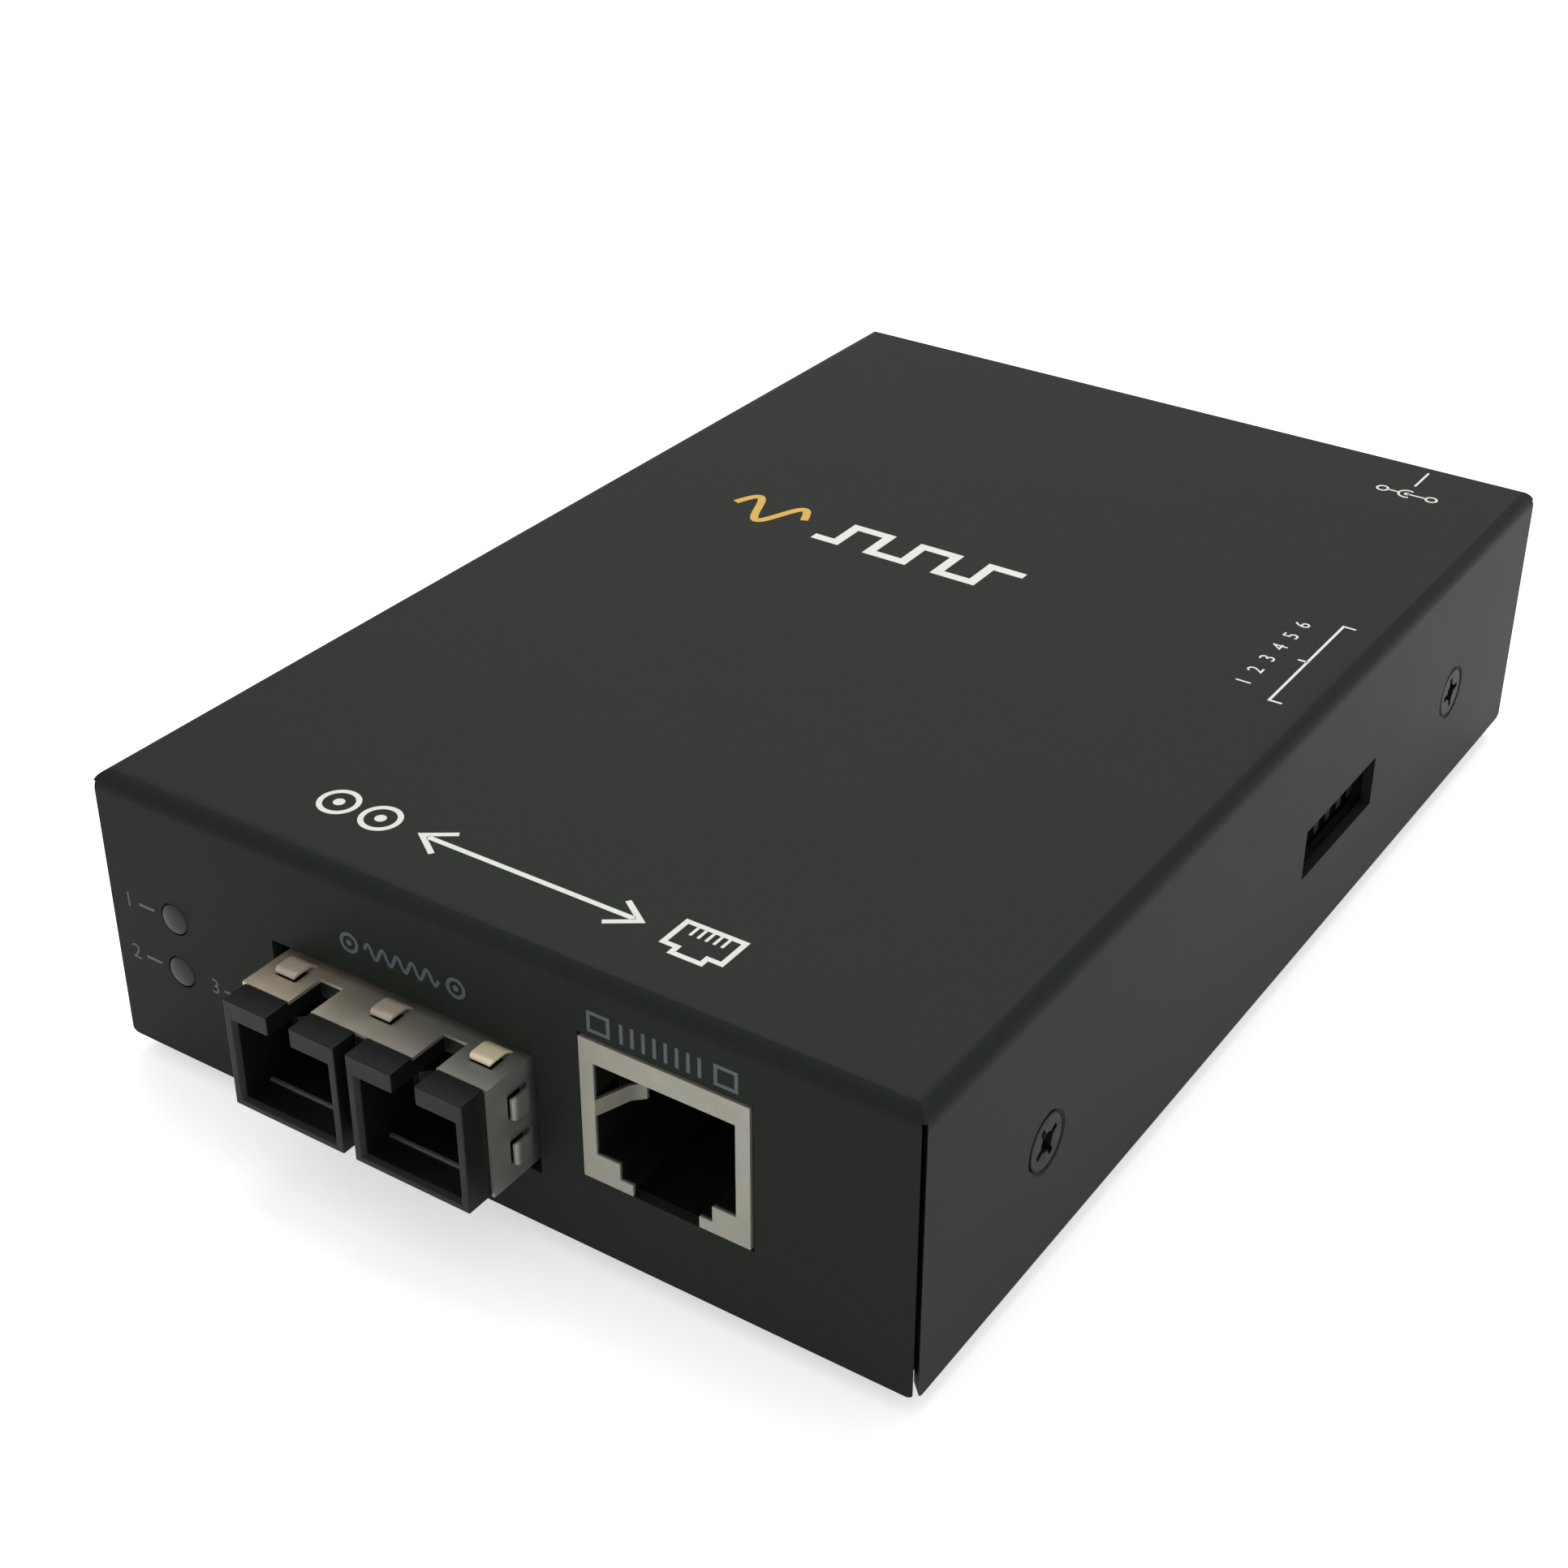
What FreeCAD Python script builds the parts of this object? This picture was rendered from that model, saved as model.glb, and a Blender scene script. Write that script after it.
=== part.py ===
import FreeCAD, Part
import Sketcher
import math
import os
import re

# A stand-alone fibre media converter: a folded steel cover over a folded steel tray, with one
# circuit board that carries the copper socket, the twin fibre receptacle, three lamps, a bank of
# six setting switches and the power inlet.  +Z is up, -Y is the connector side, and the origin is
# on the surface that the feet stand on, in the middle of the converter's length and width.

# name: (size in millimetres, what it is)
SIZES = {
    # folded case
    "case_width": (80.0, "outside width"),
    "case_depth": (120.0, "outside depth, without the fibre noses"),
    "case_height": (26.5, "outside height, without the feet"),
    "sheet_thick": (1.0, "steel sheet of cover and tray"),
    "bend_radius": (1.8, "outer radius of the cover's bends"),
    "seam_open": (0.3, "from a corner of the case to the end of each flange that meets there"),
    "seam_relief": (1.1, "skin left over each corner relief"),
    "flange_round": (0.5, "rounding of the flanges' lower corners"),
    "tray_gap": (0.2, "clearance between tray and cover"),
    "tray_bend": (1.5, "outer radius of the tray's bends"),
    "tray_side": (15.5, "height of the tray's side flanges"),
    "tray_lip": (3.4, "height of the tray's front and rear lips"),
    # feet
    "foot_rise": (2.0, "height of the feet below the case"),
    "foot_radius": (4.5, "foot radius"),
    "foot_inset": (10.0, "foot centre, in from the case's sides"),
    "foot_bevel": (0.5, "bevel round the foot's sole"),
    # cover screws
    "screw_inset": (18.4, "screw centre, in from the front and rear faces"),
    "screw_level": (11.4, "screw centre above the case's underside"),
    "screw_radius": (1.5, "shank radius of the cover screws"),
    "screw_head": (2.8, "head radius of the cover screws"),
    "screw_length": (6.0, "length of the cover screws"),
    "cross_width": (0.78, "width of the cross recess"),
    "cross_span": (3.3, "span of the cross recess"),
    "thread_play": (0.05, "clearance round a shank"),
    # circuit board
    "board_rise": (4.0, "board's underside above the case's underside"),
    "board_thick": (1.6, "board thickness"),
    "board_clear": (0.6, "board's edge to the tray's side flange"),
    "board_setback": (1.0, "board's edge to the front and rear walls"),
    "post_inset_x": (7.0, "standoff centre, in from the board's side edges"),
    "post_inset_y": (36.0, "front standoff centre, in from the board's front edge"),
    "post_rear": (22.0, "rear standoff centre, in from the board's rear edge"),
    "post_radius": (2.9, "standoff's radius over its hexagon's corners"),
    "post_shank": (2.1, "radius of the standoff's clinched shank"),
    "board_hole": (1.6, "radius of the board's fixing holes"),
    "board_screw": (1.25, "shank radius of the board screws"),
    "board_head": (2.4, "head radius of the board screws"),
    "head_height": (1.5, "head height of the board screws"),
    # twin fibre receptacle
    "fibre_left": (32.4, "receptacle's centre from the case's left side"),
    "nose_proud": (7.0, "noses' reach in front of the case"),
    "nose_width": (11.5, "width of one nose"),
    "nose_height": (10.3, "height of the noses above the board"),
    "nose_lip": (2.5, "length of the bare black lip"),
    "port_pitch": (12.7, "distance between the two ports"),
    "port_width": (9.5, "width of a port"),
    "port_height": (7.6, "height of a port"),
    "port_floor": (0.9, "thickness under a port"),
    "port_depth": (13.0, "depth of a port"),
    "port_bevel": (0.35, "lead-in bevel round a port"),
    "key_width": (2.35, "width of the keyway in a port's roof"),
    "key_end": (0.8, "keyway's end, in front of the case"),
    "fibre_depth": (39.0, "overall length of the receptacle"),
    "shield_width": (24.9, "width over the receptacle's shield"),
    "shield_thick": (0.3, "shield sheet"),
    "shield_fit": (0.05, "clearance under a shield"),
    "fibre_clear": (1.0, "clearance round the receptacle in the front wall"),
    "finger_width": (2.2, "width of a shield's spring finger"),
    "finger_length": (2.7, "length of a shield's spring finger"),
    "finger_lift": (0.65, "rise of a shield's spring finger"),
    "finger_back": (0.4, "root of a spring finger, behind the front face"),
    "sleeve_radius": (1.9, "radius of the ferrule sleeve"),
    "sleeve_bore": (1.26, "bore radius of the ferrule sleeve"),
    "sleeve_start": (5.6, "front of the sleeve, behind the port's mouth"),
    "can_radius": (2.7, "radius of the optical can"),
    "can_length": (11.0, "length of the optical can"),
    "latch_start": (5.2, "front of the latch arms, behind the port's mouth"),
    "latch_thick": (0.9, "thickness of a latch arm"),
    "latch_height": (3.4, "height of a latch arm"),
    "latch_gap": (0.7, "space behind a latch arm"),
    "hook_length": (1.6, "length of a latch arm's hook"),
    "can_wall": (3.0, "wall between a port and its optical can"),
    "pin_row": (5.0, "receptacle's pins in front of its rear end"),
    "latch_hook": (0.8, "inward reach of a latch arm's hook"),
    "lead_pitch": (2.54, "pitch of the receptacle's and the switch's pins"),
    "lead_width": (0.6, "width of a square pin"),
    "lead_below": (1.4, "length of a pin under the board"),
    "lead_play": (0.08, "clearance round a pin in the board"),
    # copper socket
    "copper_left": (57.95, "socket's centre from the case's left side"),
    "jack_width": (15.4, "width over the socket's shield"),
    "jack_height": (15.1, "height of the socket above the board"),
    "jack_depth": (21.0, "depth of the socket"),
    "jack_proud": (0.2, "reach of the socket's face in front of the case"),
    "jack_sill": (1.85, "lower edge of the socket's face above the board"),
    "jack_clear": (0.2, "clearance round the socket in the front wall"),
    "mouth_width": (12.8, "width of the socket's mouth"),
    "mouth_top": (13.0, "top of the mouth above the board"),
    "mouth_low": (4.4, "lower corners of the mouth above the board"),
    "step_width": (8.5, "width of the mouth's step"),
    "step_low": (2.9, "bottom of the step above the board"),
    "notch_width": (6.1, "width of the latch notch"),
    "notch_low": (1.2, "bottom of the latch notch above the board"),
    "mouth_depth": (13.5, "depth of the socket's mouth"),
    "contact_pitch": (1.02, "pitch of the socket's contacts"),
    "contact_width": (0.4, "width of a contact"),
    "contact_front": (3.0, "contacts' front ends behind the socket's face"),
    "contact_rise": (0.5, "contacts' front ends above the mouth's roof"),
    "contact_drop": (3.2, "contacts' rear ends below the mouth's roof"),
    "contact_slot": (0.8, "depth of the contacts' grooves in the roof"),
    "ear_slot": (0.6, "depth of the side springs' grooves"),
    "ear_play": (0.3, "clearance over and under the side springs"),
    "ear_lean": (1.1, "inward reach of the socket's side springs at their bend"),
    "ear_bend": (3.0, "bend of the side springs behind the socket's face"),
    "ear_reach": (2.0, "inward reach of the side springs' ends"),
    "ear_length": (3.9, "length of the side springs"),
    "ear_height": (1.5, "height of the side springs"),
    "ear_level": (8.0, "underside of the side springs above the board"),
    # lamps
    "lamp_left": (7.7, "stacked lamps' centre from the case's left side"),
    "lamp_side": (16.6, "single lamp's centre from the case's left side"),
    "lamp_low": (3.6, "lower lamps' centre above the board"),
    "lamp_pitch": (5.3, "height between the stacked lamps"),
    "lamp_radius": (1.4, "lamp radius"),
    "lamp_clear": (0.12, "clearance round a lamp"),
    "lamp_proud": (0.35, "reach of a lamp's tip in front of the case"),
    "lamp_lead": (0.5, "width of a lamp's square lead"),
    "lead_back": (1.0, "lamp leads behind the holder"),
    "holder_wall": (1.0, "wall behind a lamp in its holder"),
    "holder_width": (4.6, "width of a lamp holder"),
    "holder_depth": (6.5, "depth of a lamp holder"),
    # setting switches
    "switch_count": (6.0, "number of setting switches"),
    "switch_back": (73.8, "middle of the switch bank behind the front face"),
    "switch_pitch": (2.54, "distance between the sliders"),
    "switch_body": (9.4, "height of the switch body above the board"),
    "switch_depth": (6.2, "depth of the switch body"),
    "switch_margin": (1.1, "body beyond the outer sliders' pitch"),
    "switch_level": (5.65, "middle of the slider slots above the board"),
    "switch_gap": (0.3, "switch face to the tray's side flange"),
    "window_length": (15.7, "length of the window in the cover"),
    "window_height": (5.1, "height of the window in the cover"),
    "window_rim": (0.6, "extra room round the window in the tray"),
    "slot_width": (1.3, "width of a slider's slot"),
    "slider_play": (0.1, "clearance round a slider"),
    "slider_height": (1.5, "height of a slider's knob"),
    "slider_travel": (1.5, "travel of a slider"),
    "slider_proud": (0.9, "reach of a slider's knob past the switch face"),
    "slider_wall": (0.8, "thickness of the switch face behind the knob"),
    "shoe_width": (1.8, "width of a slider's shoe"),
    "shoe_depth": (1.4, "depth of a slider's shoe"),
    # power inlet
    "power_right": (11.0, "power inlet's centre from the case's right side"),
    "inlet_width": (9.0, "width of the power inlet"),
    "inlet_height": (11.0, "height of the power inlet above the board"),
    "inlet_depth": (14.2, "depth of the power inlet"),
    "inlet_radius": (3.2, "radius of the inlet's bore"),
    "inlet_bore": (9.5, "depth of the inlet's bore"),
    "pin_root": (3.0, "length of the centre pin held in the housing"),
    "inlet_level": (6.5, "bore's centre above the board"),
    "inlet_clear": (0.25, "clearance round the inlet in the rear wall"),
    "inlet_round": (1.2, "rounding of the inlet's upper corners"),
    "pin_radius": (1.0, "radius of the inlet's centre pin"),
    "pin_tip": (1.0, "centre pin's tip behind the inlet's face"),
    "tag_width": (1.8, "width of a solder tag"),
    "tag_back": (1.0, "centre tag's place behind the inlet's inner end"),
    "tag_thick": (0.7, "thickness of a solder tag"),
    # parts on the board
    "chip_size": (20.0, "side of the converter chip"),
    "chip_height": (1.6, "height of the converter chip"),
    "chip_back": (58.0, "converter chip's centre behind the front face"),
    "leg_count": (12.0, "legs on each side of the converter chip"),
    "leg_pitch": (1.27, "pitch of the chip's legs"),
    "leg_reach": (1.0, "reach of a leg past the chip"),
    "leg_thick": (0.2, "thickness of a leg"),
    "filter_width": (15.0, "width of the line transformer"),
    "filter_depth": (12.5, "depth of the line transformer"),
    "filter_height": (5.8, "height of the line transformer"),
    "filter_gap": (1.0, "space between the copper socket and the line transformer"),
    "capacitor_radius": (3.15, "radius of the electrolytic capacitors"),
    "capacitor_height": (7.0, "height of the electrolytic capacitors"),
    "capacitor_pitch": (9.0, "distance between the electrolytic capacitors"),
    "capacitor_side": (18.0, "capacitors' row beside the power inlet"),
    "capacitor_back": (16.0, "rearmost capacitor in front of the rear face"),
    "base_rise": (0.8, "height of a capacitor's base"),
    "base_reach": (0.2, "reach of a capacitor's base past its can"),
    "coil_size": (10.0, "side of the power inductor"),
    "coil_height": (4.5, "height of the power inductor"),
    "coil_side": (30.0, "inductor beside the power inlet"),
    "coil_back": (20.0, "inductor in front of the rear face"),
    "crystal_length": (11.0, "length of the crystal can"),
    "crystal_width": (4.6, "width of the crystal can"),
    "crystal_height": (3.5, "height of the crystal can"),
    "crystal_side": (20.0, "crystal beside the converter chip's centre"),
}

# places worked out from the sizes
PLACES = {
    "side_x": "case_width / 2",
    "wall_x": "side_x - sheet_thick",
    "tray_x": "wall_x - tray_gap",
    "under_z": "foot_rise",
    "roof_z": "foot_rise + case_height",
    "front_y": "(nose_proud - case_depth) / 2",
    "rear_y": "(nose_proud + case_depth) / 2",
    "deck_z": "under_z + board_rise + board_thick",
    "slab_z": "under_z + board_rise",
    "board_x": "tray_x - sheet_thick - board_clear",
    "board_front": "front_y + sheet_thick + board_setback",
    "board_rear": "rear_y - sheet_thick - board_setback",
    "post_x": "board_x - post_inset_x",
    "post_front_y": "board_front + post_inset_y",
    "post_rear_y": "board_rear - post_rear",
    "screw_z": "under_z + screw_level",
    "screw_front_y": "front_y + screw_inset",
    "screw_rear_y": "rear_y - screw_inset",
    "fibre_x": "fibre_left - side_x",
    "mouth_y": "front_y - nose_proud",
    "lip_y": "mouth_y + nose_lip",
    "fibre_end": "mouth_y + fibre_depth",
    "port_z": "deck_z + port_floor",
    "port_axis": "deck_z + port_floor + port_height / 2",
    "port_end": "mouth_y + port_depth",
    "core_x": "shield_width / 2 - shield_thick - shield_fit",
    "core_z": "deck_z + nose_height - shield_thick - shield_fit",
    "copper_x": "copper_left - side_x",
    "jack_y": "front_y - jack_proud",
    "jack_end": "jack_y + jack_depth",
    "jack_z": "deck_z + jack_height",
    "sill_z": "deck_z + jack_sill",
    "heel_y": "front_y + sheet_thick + jack_clear",
    "lamp_x": "lamp_left - side_x",
    "lamp_side_x": "lamp_side - side_x",
    "lamp_tip": "front_y - lamp_proud",
    "switch_y": "front_y + switch_back",
    "switch_face": "tray_x - sheet_thick - switch_gap",
    "switch_rear": "switch_face - switch_depth",
    "slot_z": "deck_z + switch_level",
    "slot_height": "slider_height + slider_travel + 2 * slider_play",
    "power_x": "side_x - power_right",
    "inlet_axis": "deck_z + inlet_level",
    "chip_y": "front_y + chip_back",
    "floor_top": "under_z + sheet_thick",
    "can_start": "port_end + can_wall",
    "holder_front": "front_y + sheet_thick + board_setback",
    "holder_rear": "holder_front + holder_depth",
    "shoe_back": "switch_face - slider_wall - slider_play - shoe_depth",
}

WORD = re.compile(r"[a-z]+(?:_[a-z]+)*")
MIRRORED = (("-", "left"), ("", "right"))
V = FreeCAD.Vector
TURN = {
    "x": FreeCAD.Rotation(V(0, 0, 1), V(1, 0, 0)),
    "y": FreeCAD.Rotation(V(0, 0, 1), V(0, 1, 0)),
    "z": FreeCAD.Rotation(),
}

doc = FreeCAD.newDocument("converter")
sheet = doc.addObject("Spreadsheet::Sheet", "Sizes")
for row, (alias, (number, note)) in enumerate(SIZES.items(), 1):
    sheet.set(f"A{row}", alias)
    sheet.set(f"B{row}", str(number))
    sheet.set(f"C{row}", note)
    sheet.setAlias(f"B{row}", alias)
doc.recompute()
pieces = []


# ---- formulas, bodies and solids -------------------------------------------------------------

def spell(formula):
    """A formula of size and place names, in the document's own words."""
    def put(match):
        word = match.group(0)
        if word in SIZES:
            return "Sizes." + word
        return f"({spell(PLACES[word])})" if word in PLACES else word
    return WORD.sub(put, str(formula))


def size(alias):
    return float(sheet.get(alias))


def bind(thing, **formulas):
    for prop, formula in formulas.items():
        thing.setExpression(prop, spell(formula))
    return thing


def seat(thing, x="0", y="0", z="0"):
    for axis, formula in (("x", x), ("y", y), ("z", z)):
        thing.setExpression("Placement.Base." + axis, spell(formula))
    return thing


def piece(name, thing):
    thing.Label = name
    pieces.append(thing)
    return thing


def new_body(name):
    return doc.addObject("PartDesign::Body", "Body_" + name)


def draw(body, plane, level, outlines):
    """A sketch on the body's own plane, at a level along that plane's axis.  An outline is a
    list of corners, or a (x, y, radius) circle; each coordinate is a formula."""
    sketch = body.newObject("Sketcher::SketchObject", "Sketch")
    support = [f for f in body.Origin.OriginFeatures if f.Role == plane + "_Plane"]
    sketch.AttachmentSupport = [(support[0], "")]
    sketch.MapMode = "FlatFace"
    sign = "-1" if plane == "XZ" else "1"
    sketch.setExpression("AttachmentOffset.Base.z", spell(f"{sign} * ({level})"))
    for outline in outlines:
        if isinstance(outline, tuple):
            draw_circle(sketch, *outline)
        else:
            draw_corners(sketch, outline)
    sketch.Visibility = False
    return sketch


def pin_point(sketch, curve, point, x, y):
    for kind, formula in (("DistanceX", x), ("DistanceY", y)):
        index = sketch.addConstraint(Sketcher.Constraint(kind, -1, 1, curve, point, 1.0))
        sketch.setExpression(f"Constraints[{index}]", spell(formula))


def draw_circle(sketch, x, y, radius):
    curve = sketch.addGeometry(Part.Circle(V(1, 1, 0), V(0, 0, 1), 1.0), False)
    pin_point(sketch, curve, 3, x, y)
    index = sketch.addConstraint(Sketcher.Constraint("Radius", curve, 1.0))
    sketch.setExpression(f"Constraints[{index}]", spell(radius))


def draw_corners(sketch, corners):
    turn = 2 * math.pi / len(corners)
    ring = [V(math.cos(turn * i), math.sin(turn * i), 0) for i in range(len(corners))]
    sides = [Part.LineSegment(ring[i - 1], ring[i]) for i in range(len(corners))]
    curves = sketch.addGeometry(sides, False)
    for i, (x, y) in enumerate(corners):
        following = curves[(i + 1) % len(curves)]
        sketch.addConstraint(Sketcher.Constraint("Coincident", curves[i], 2, following, 1))
        pin_point(sketch, curves[i], 2, x, y)


def feature(body, kind, name, sketch, **formulas):
    made = body.newObject("PartDesign::" + kind, name)
    made.Profile = sketch
    return bind(made, **formulas)


def pad(body, plane, low, high, *outlines):
    sketch = draw(body, plane, low, outlines)
    made = feature(body, "Pad", "Pad", sketch, Length=f"({high}) - ({low})")
    made.Reversed = plane == "XZ"
    return body


def pocket(body, plane, low, high, *outlines):
    sketch = draw(body, plane, low, outlines)
    made = feature(body, "Pocket", "Pocket", sketch, Length=f"({high}) - ({low})")
    made.Reversed = plane != "XZ"
    return body


def turned(name, outline, axis="V_Axis"):
    """A body turned about the Z axis from a half outline in the XZ plane."""
    body = new_body(name)
    sketch = draw(body, "XZ", "0", [outline])
    made = feature(body, "Revolution", "Revolution", sketch)
    made.ReferenceAxis = (sketch, [axis])
    made.Angle = 360.0
    return body


def dress(body, kind, prop, formula, pick):
    """A fillet or chamfer on the edges that pick accepts."""
    doc.recompute()
    base = body.Tip
    names = [f"Edge{i}" for i, edge in enumerate(base.Shape.Edges, 1) if pick(edge)]
    made = body.newObject("PartDesign::" + kind, kind)
    made.Base = (base, names)
    bind(made, **{prop: formula})
    return body


def rectangle(x, y):
    """Corners of a rectangle between the low and high formulas of each axis."""
    return [(x[0], y[0]), (x[1], y[0]), (x[1], y[1]), (x[0], y[1])]


def about(centre, half):
    return (f"({centre}) - ({half})", f"({centre}) + ({half})")


def block(x, y, z):
    made = doc.addObject("Part::Box", "Block")
    bind(made, Length=f"({x[1]}) - ({x[0]})", Width=f"({y[1]}) - ({y[0]})")
    bind(made, Height=f"({z[1]}) - ({z[0]})")
    return seat(made, x[0], y[0], z[0])


def rod(axis, radius, length, x, y, z):
    made = doc.addObject("Part::Cylinder", "Rod")
    made.Placement = FreeCAD.Placement(V(), TURN[axis])
    bind(made, Radius=radius, Height=length)
    return seat(made, x, y, z)


def cone(axis, low, high, length, x, y, z):
    made = doc.addObject("Part::Cone", "Cone")
    made.Placement = FreeCAD.Placement(V(), TURN[axis])
    bind(made, Radius1=low, Radius2=high, Height=length)
    return seat(made, x, y, z)


def fuse(*things):
    if len(things) == 1:
        return things[0]
    made = doc.addObject("Part::MultiFuse", "Fuse")
    made.Shapes = list(things)
    return made


def cut(base, *tools):
    made = doc.addObject("Part::Cut", "Cut")
    made.Base = base
    made.Tool = fuse(*tools)
    return made


def group(*things):
    made = doc.addObject("Part::Compound", "Group")
    made.Links = list(things)
    return made


def copy(thing, x="0", y="0", z="0", turn=None):
    made = doc.addObject("App::Link", "Copy")
    made.LinkedObject = thing
    if turn:
        made.Placement = FreeCAD.Placement(V(), turn)
    return seat(made, x, y, z)


def row(index, count, pitch):
    """Place of one of several evenly spaced things about a middle."""
    return f"({index} - ({count} - 1) / 2) * {pitch}"


def is_upright(edge):
    return edge.BoundBox.ZLength > 1e-3 and edge.BoundBox.XLength + edge.BoundBox.YLength < 1e-3


# ---- case ------------------------------------------------------------------------------------

def panel_hole_fibre():
    return rectangle(about("fibre_x", "shield_width / 2 + fibre_clear"),
                     ("deck_z - 0.3 * fibre_clear", "deck_z + nose_height + fibre_clear"))


def panel_hole_copper():
    return rectangle(about("copper_x", "jack_width / 2 + jack_clear"),
                     ("sill_z - jack_clear", "jack_z + jack_clear"))


def panel_holes_lamps():
    radius = "lamp_radius + lamp_clear"
    return [("lamp_x", "deck_z + lamp_low", radius),
            ("lamp_x", "deck_z + lamp_low + lamp_pitch", radius),
            ("lamp_side_x", "deck_z + lamp_low", radius)]


def panel_hole_power(x, z):
    return rectangle(about(x, "inlet_width / 2 + inlet_clear"),
                     ("deck_z - inlet_clear", f"{z} + inlet_clear"))


def corner_seam(side, end):
    """Slanting slot that parts the two flanges at a corner, between their mitred ends."""
    sign = "+" if end == "front_y" else "-"
    x_out, y_out = f"{side} (side_x + 1)", f"{end} - ({sign} 1)"
    y_wall = f"{end} {sign} sheet_thick"
    return [(x_out, y_out), (x_out, f"{end} {sign} seam_open"),
            (f"{side} side_x", f"{end} {sign} seam_open"),
            (f"{side} wall_x", f"{y_wall} {sign} seam_open"),
            (f"{side} (wall_x - seam_open)", y_wall),
            (f"{side} (side_x - seam_open)", end),
            (f"{side} (side_x - seam_open)", y_out)]


def top_cover():
    body = new_body("cover")
    pad(body, "XY", "under_z", "roof_z", rectangle(about("0", "side_x"), ("front_y", "rear_y")))
    dress(body, "Fillet", "Radius", "bend_radius",
          lambda edge: edge.BoundBox.ZMin > body.Shape.BoundBox.ZMax - 1e-3)
    pocket(body, "XY", "under_z - 1", "roof_z - sheet_thick",
           rectangle(about("0", "wall_x"), ("front_y + sheet_thick", "rear_y - sheet_thick")))
    ceiling = size("foot_rise") + size("case_height") - size("sheet_thick")
    dress(body, "Fillet", "Radius", "bend_radius - sheet_thick",
          lambda edge: abs(edge.BoundBox.ZMin - ceiling) < 1e-3 and edge.BoundBox.ZLength < 1e-3)
    seams = [corner_seam(side, end) for side in ("-", "") for end in ("front_y", "rear_y")]
    pocket(body, "XY", "under_z - 1", "roof_z - seam_relief", *seams)
    pocket(body, "XZ", "front_y - 1", "front_y + 2 * sheet_thick",
           panel_hole_fibre(), panel_hole_copper(), *panel_holes_lamps())
    pocket(body, "XZ", "rear_y - 2 * sheet_thick", "rear_y + 1",
           panel_hole_power("power_x", "deck_z + inlet_height"))
    pocket(body, "YZ", "wall_x - 1", "side_x + 1",
           rectangle(about("switch_y", "window_length / 2"), about("slot_z", "window_height / 2")))
    dress(body, "Fillet", "Radius", "flange_round", is_flange_corner)
    sinks = []
    for x, turn in (("side_x", "-1"), ("-side_x", "1")):
        for y in ("screw_front_y", "screw_rear_y"):
            sinks.append(screw_sink(x, turn, y))
    return piece("top_cover", cut(body, *sinks))


def is_flange_corner(edge):
    """Lower edges of the flanges' mitred ends."""
    box = edge.BoundBox
    skin = size("sheet_thick")
    slanting = abs(box.XLength - skin) < 1e-3 and abs(box.YLength - skin) < 1e-3
    return slanting and box.ZMax < size("foot_rise") + 1e-3


def screw_sink(x, turn, y):
    """Hole through a side wall with the countersink that takes a screw's head."""
    sink = doc.addObject("Part::Cone", "Sink")
    sink.Placement = FreeCAD.Placement(V(), FreeCAD.Rotation(V(0, 0, 1), V(float(turn), 0, 0)))
    bind(sink, Radius1="screw_head + thread_play", Radius2="screw_radius + thread_play",
         Height="sheet_thick")
    seat(sink, x, y, "screw_z")
    hole = rod("x", "screw_radius + thread_play", "4 * sheet_thick",
               f"{x} - 2 * sheet_thick", y, "screw_z")
    return fuse(sink, hole)


def base_tray():
    body = new_body("tray")
    inner = "tray_x - sheet_thick"
    floor, rim = "under_z + sheet_thick", "under_z + tray_side"
    low, high = "front_y + sheet_thick + tray_gap", "rear_y - sheet_thick - tray_gap"
    pad(body, "XZ", low, high,
        [("-tray_x", "under_z"), ("tray_x", "under_z"), ("tray_x", rim), (inner, rim),
         (inner, floor), (f"-({inner})", floor), (f"-({inner})", rim), ("-tray_x", rim)])
    tray_edge = size("case_width") / 2 - size("sheet_thick") - size("tray_gap")
    bottom, skin = size("foot_rise"), size("sheet_thick")

    def on_corner(edge, x, z):
        box = edge.BoundBox
        return box.YLength > 1 and abs(abs(box.XMin) - x) < 1e-3 and abs(box.ZMin - z) < 1e-3

    dress(body, "Fillet", "Radius", "tray_bend", lambda edge: on_corner(edge, tray_edge, bottom))
    dress(body, "Fillet", "Radius", "tray_bend - sheet_thick",
          lambda edge: on_corner(edge, tray_edge - skin, bottom + skin))
    lip_x = about("0", "tray_x - tray_bend - 1")
    for start, end in ((low, f"{low} + sheet_thick"), (f"{high} - sheet_thick", high)):
        pad(body, "XZ", start, end, rectangle(lip_x, ("under_z", "under_z + tray_lip")))
    window = rectangle(about("switch_y", "window_length / 2 + window_rim"),
                       about("slot_z", "window_height / 2 + window_rim"))
    pocket(body, "YZ", "tray_x - 2 * sheet_thick", "side_x", window)
    holes = [(y, "screw_z", "screw_radius + thread_play") for y in ("screw_front_y", "screw_rear_y")]
    pocket(body, "YZ", "-side_x", "side_x", *holes)
    sockets = [(f"{side} post_x", y, "post_shank + thread_play")
               for side, _ in MIRRORED for y in ("post_front_y", "post_rear_y")]
    pocket(body, "XY", "0", "floor_top", *sockets)
    return piece("base_tray", body)


def cover_screws():
    """Countersunk cross-recess screws, two in each side."""
    screw = turned("screw", [("0", "0"), ("screw_head", "0"), ("screw_radius", "-sheet_thick"),
                             ("screw_radius", "-screw_length"), ("0", "-screw_length")])
    half, span = "cross_width / 2", "cross_span / 2"
    for x, y in ((half, span), (span, half)):
        pocket(screw, "XY", "-0.8 * sheet_thick", "1", rectangle(about("0", x), about("0", y)))
    links = []
    for x, out in (("side_x", 1), ("-side_x", -1)):
        for y in ("screw_front_y", "screw_rear_y"):
            links.append(copy(screw, x, y, "screw_z", FreeCAD.Rotation(V(0, 0, 1), V(out, 0, 0))))
    return piece("cover_screws", group(*links))


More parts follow.
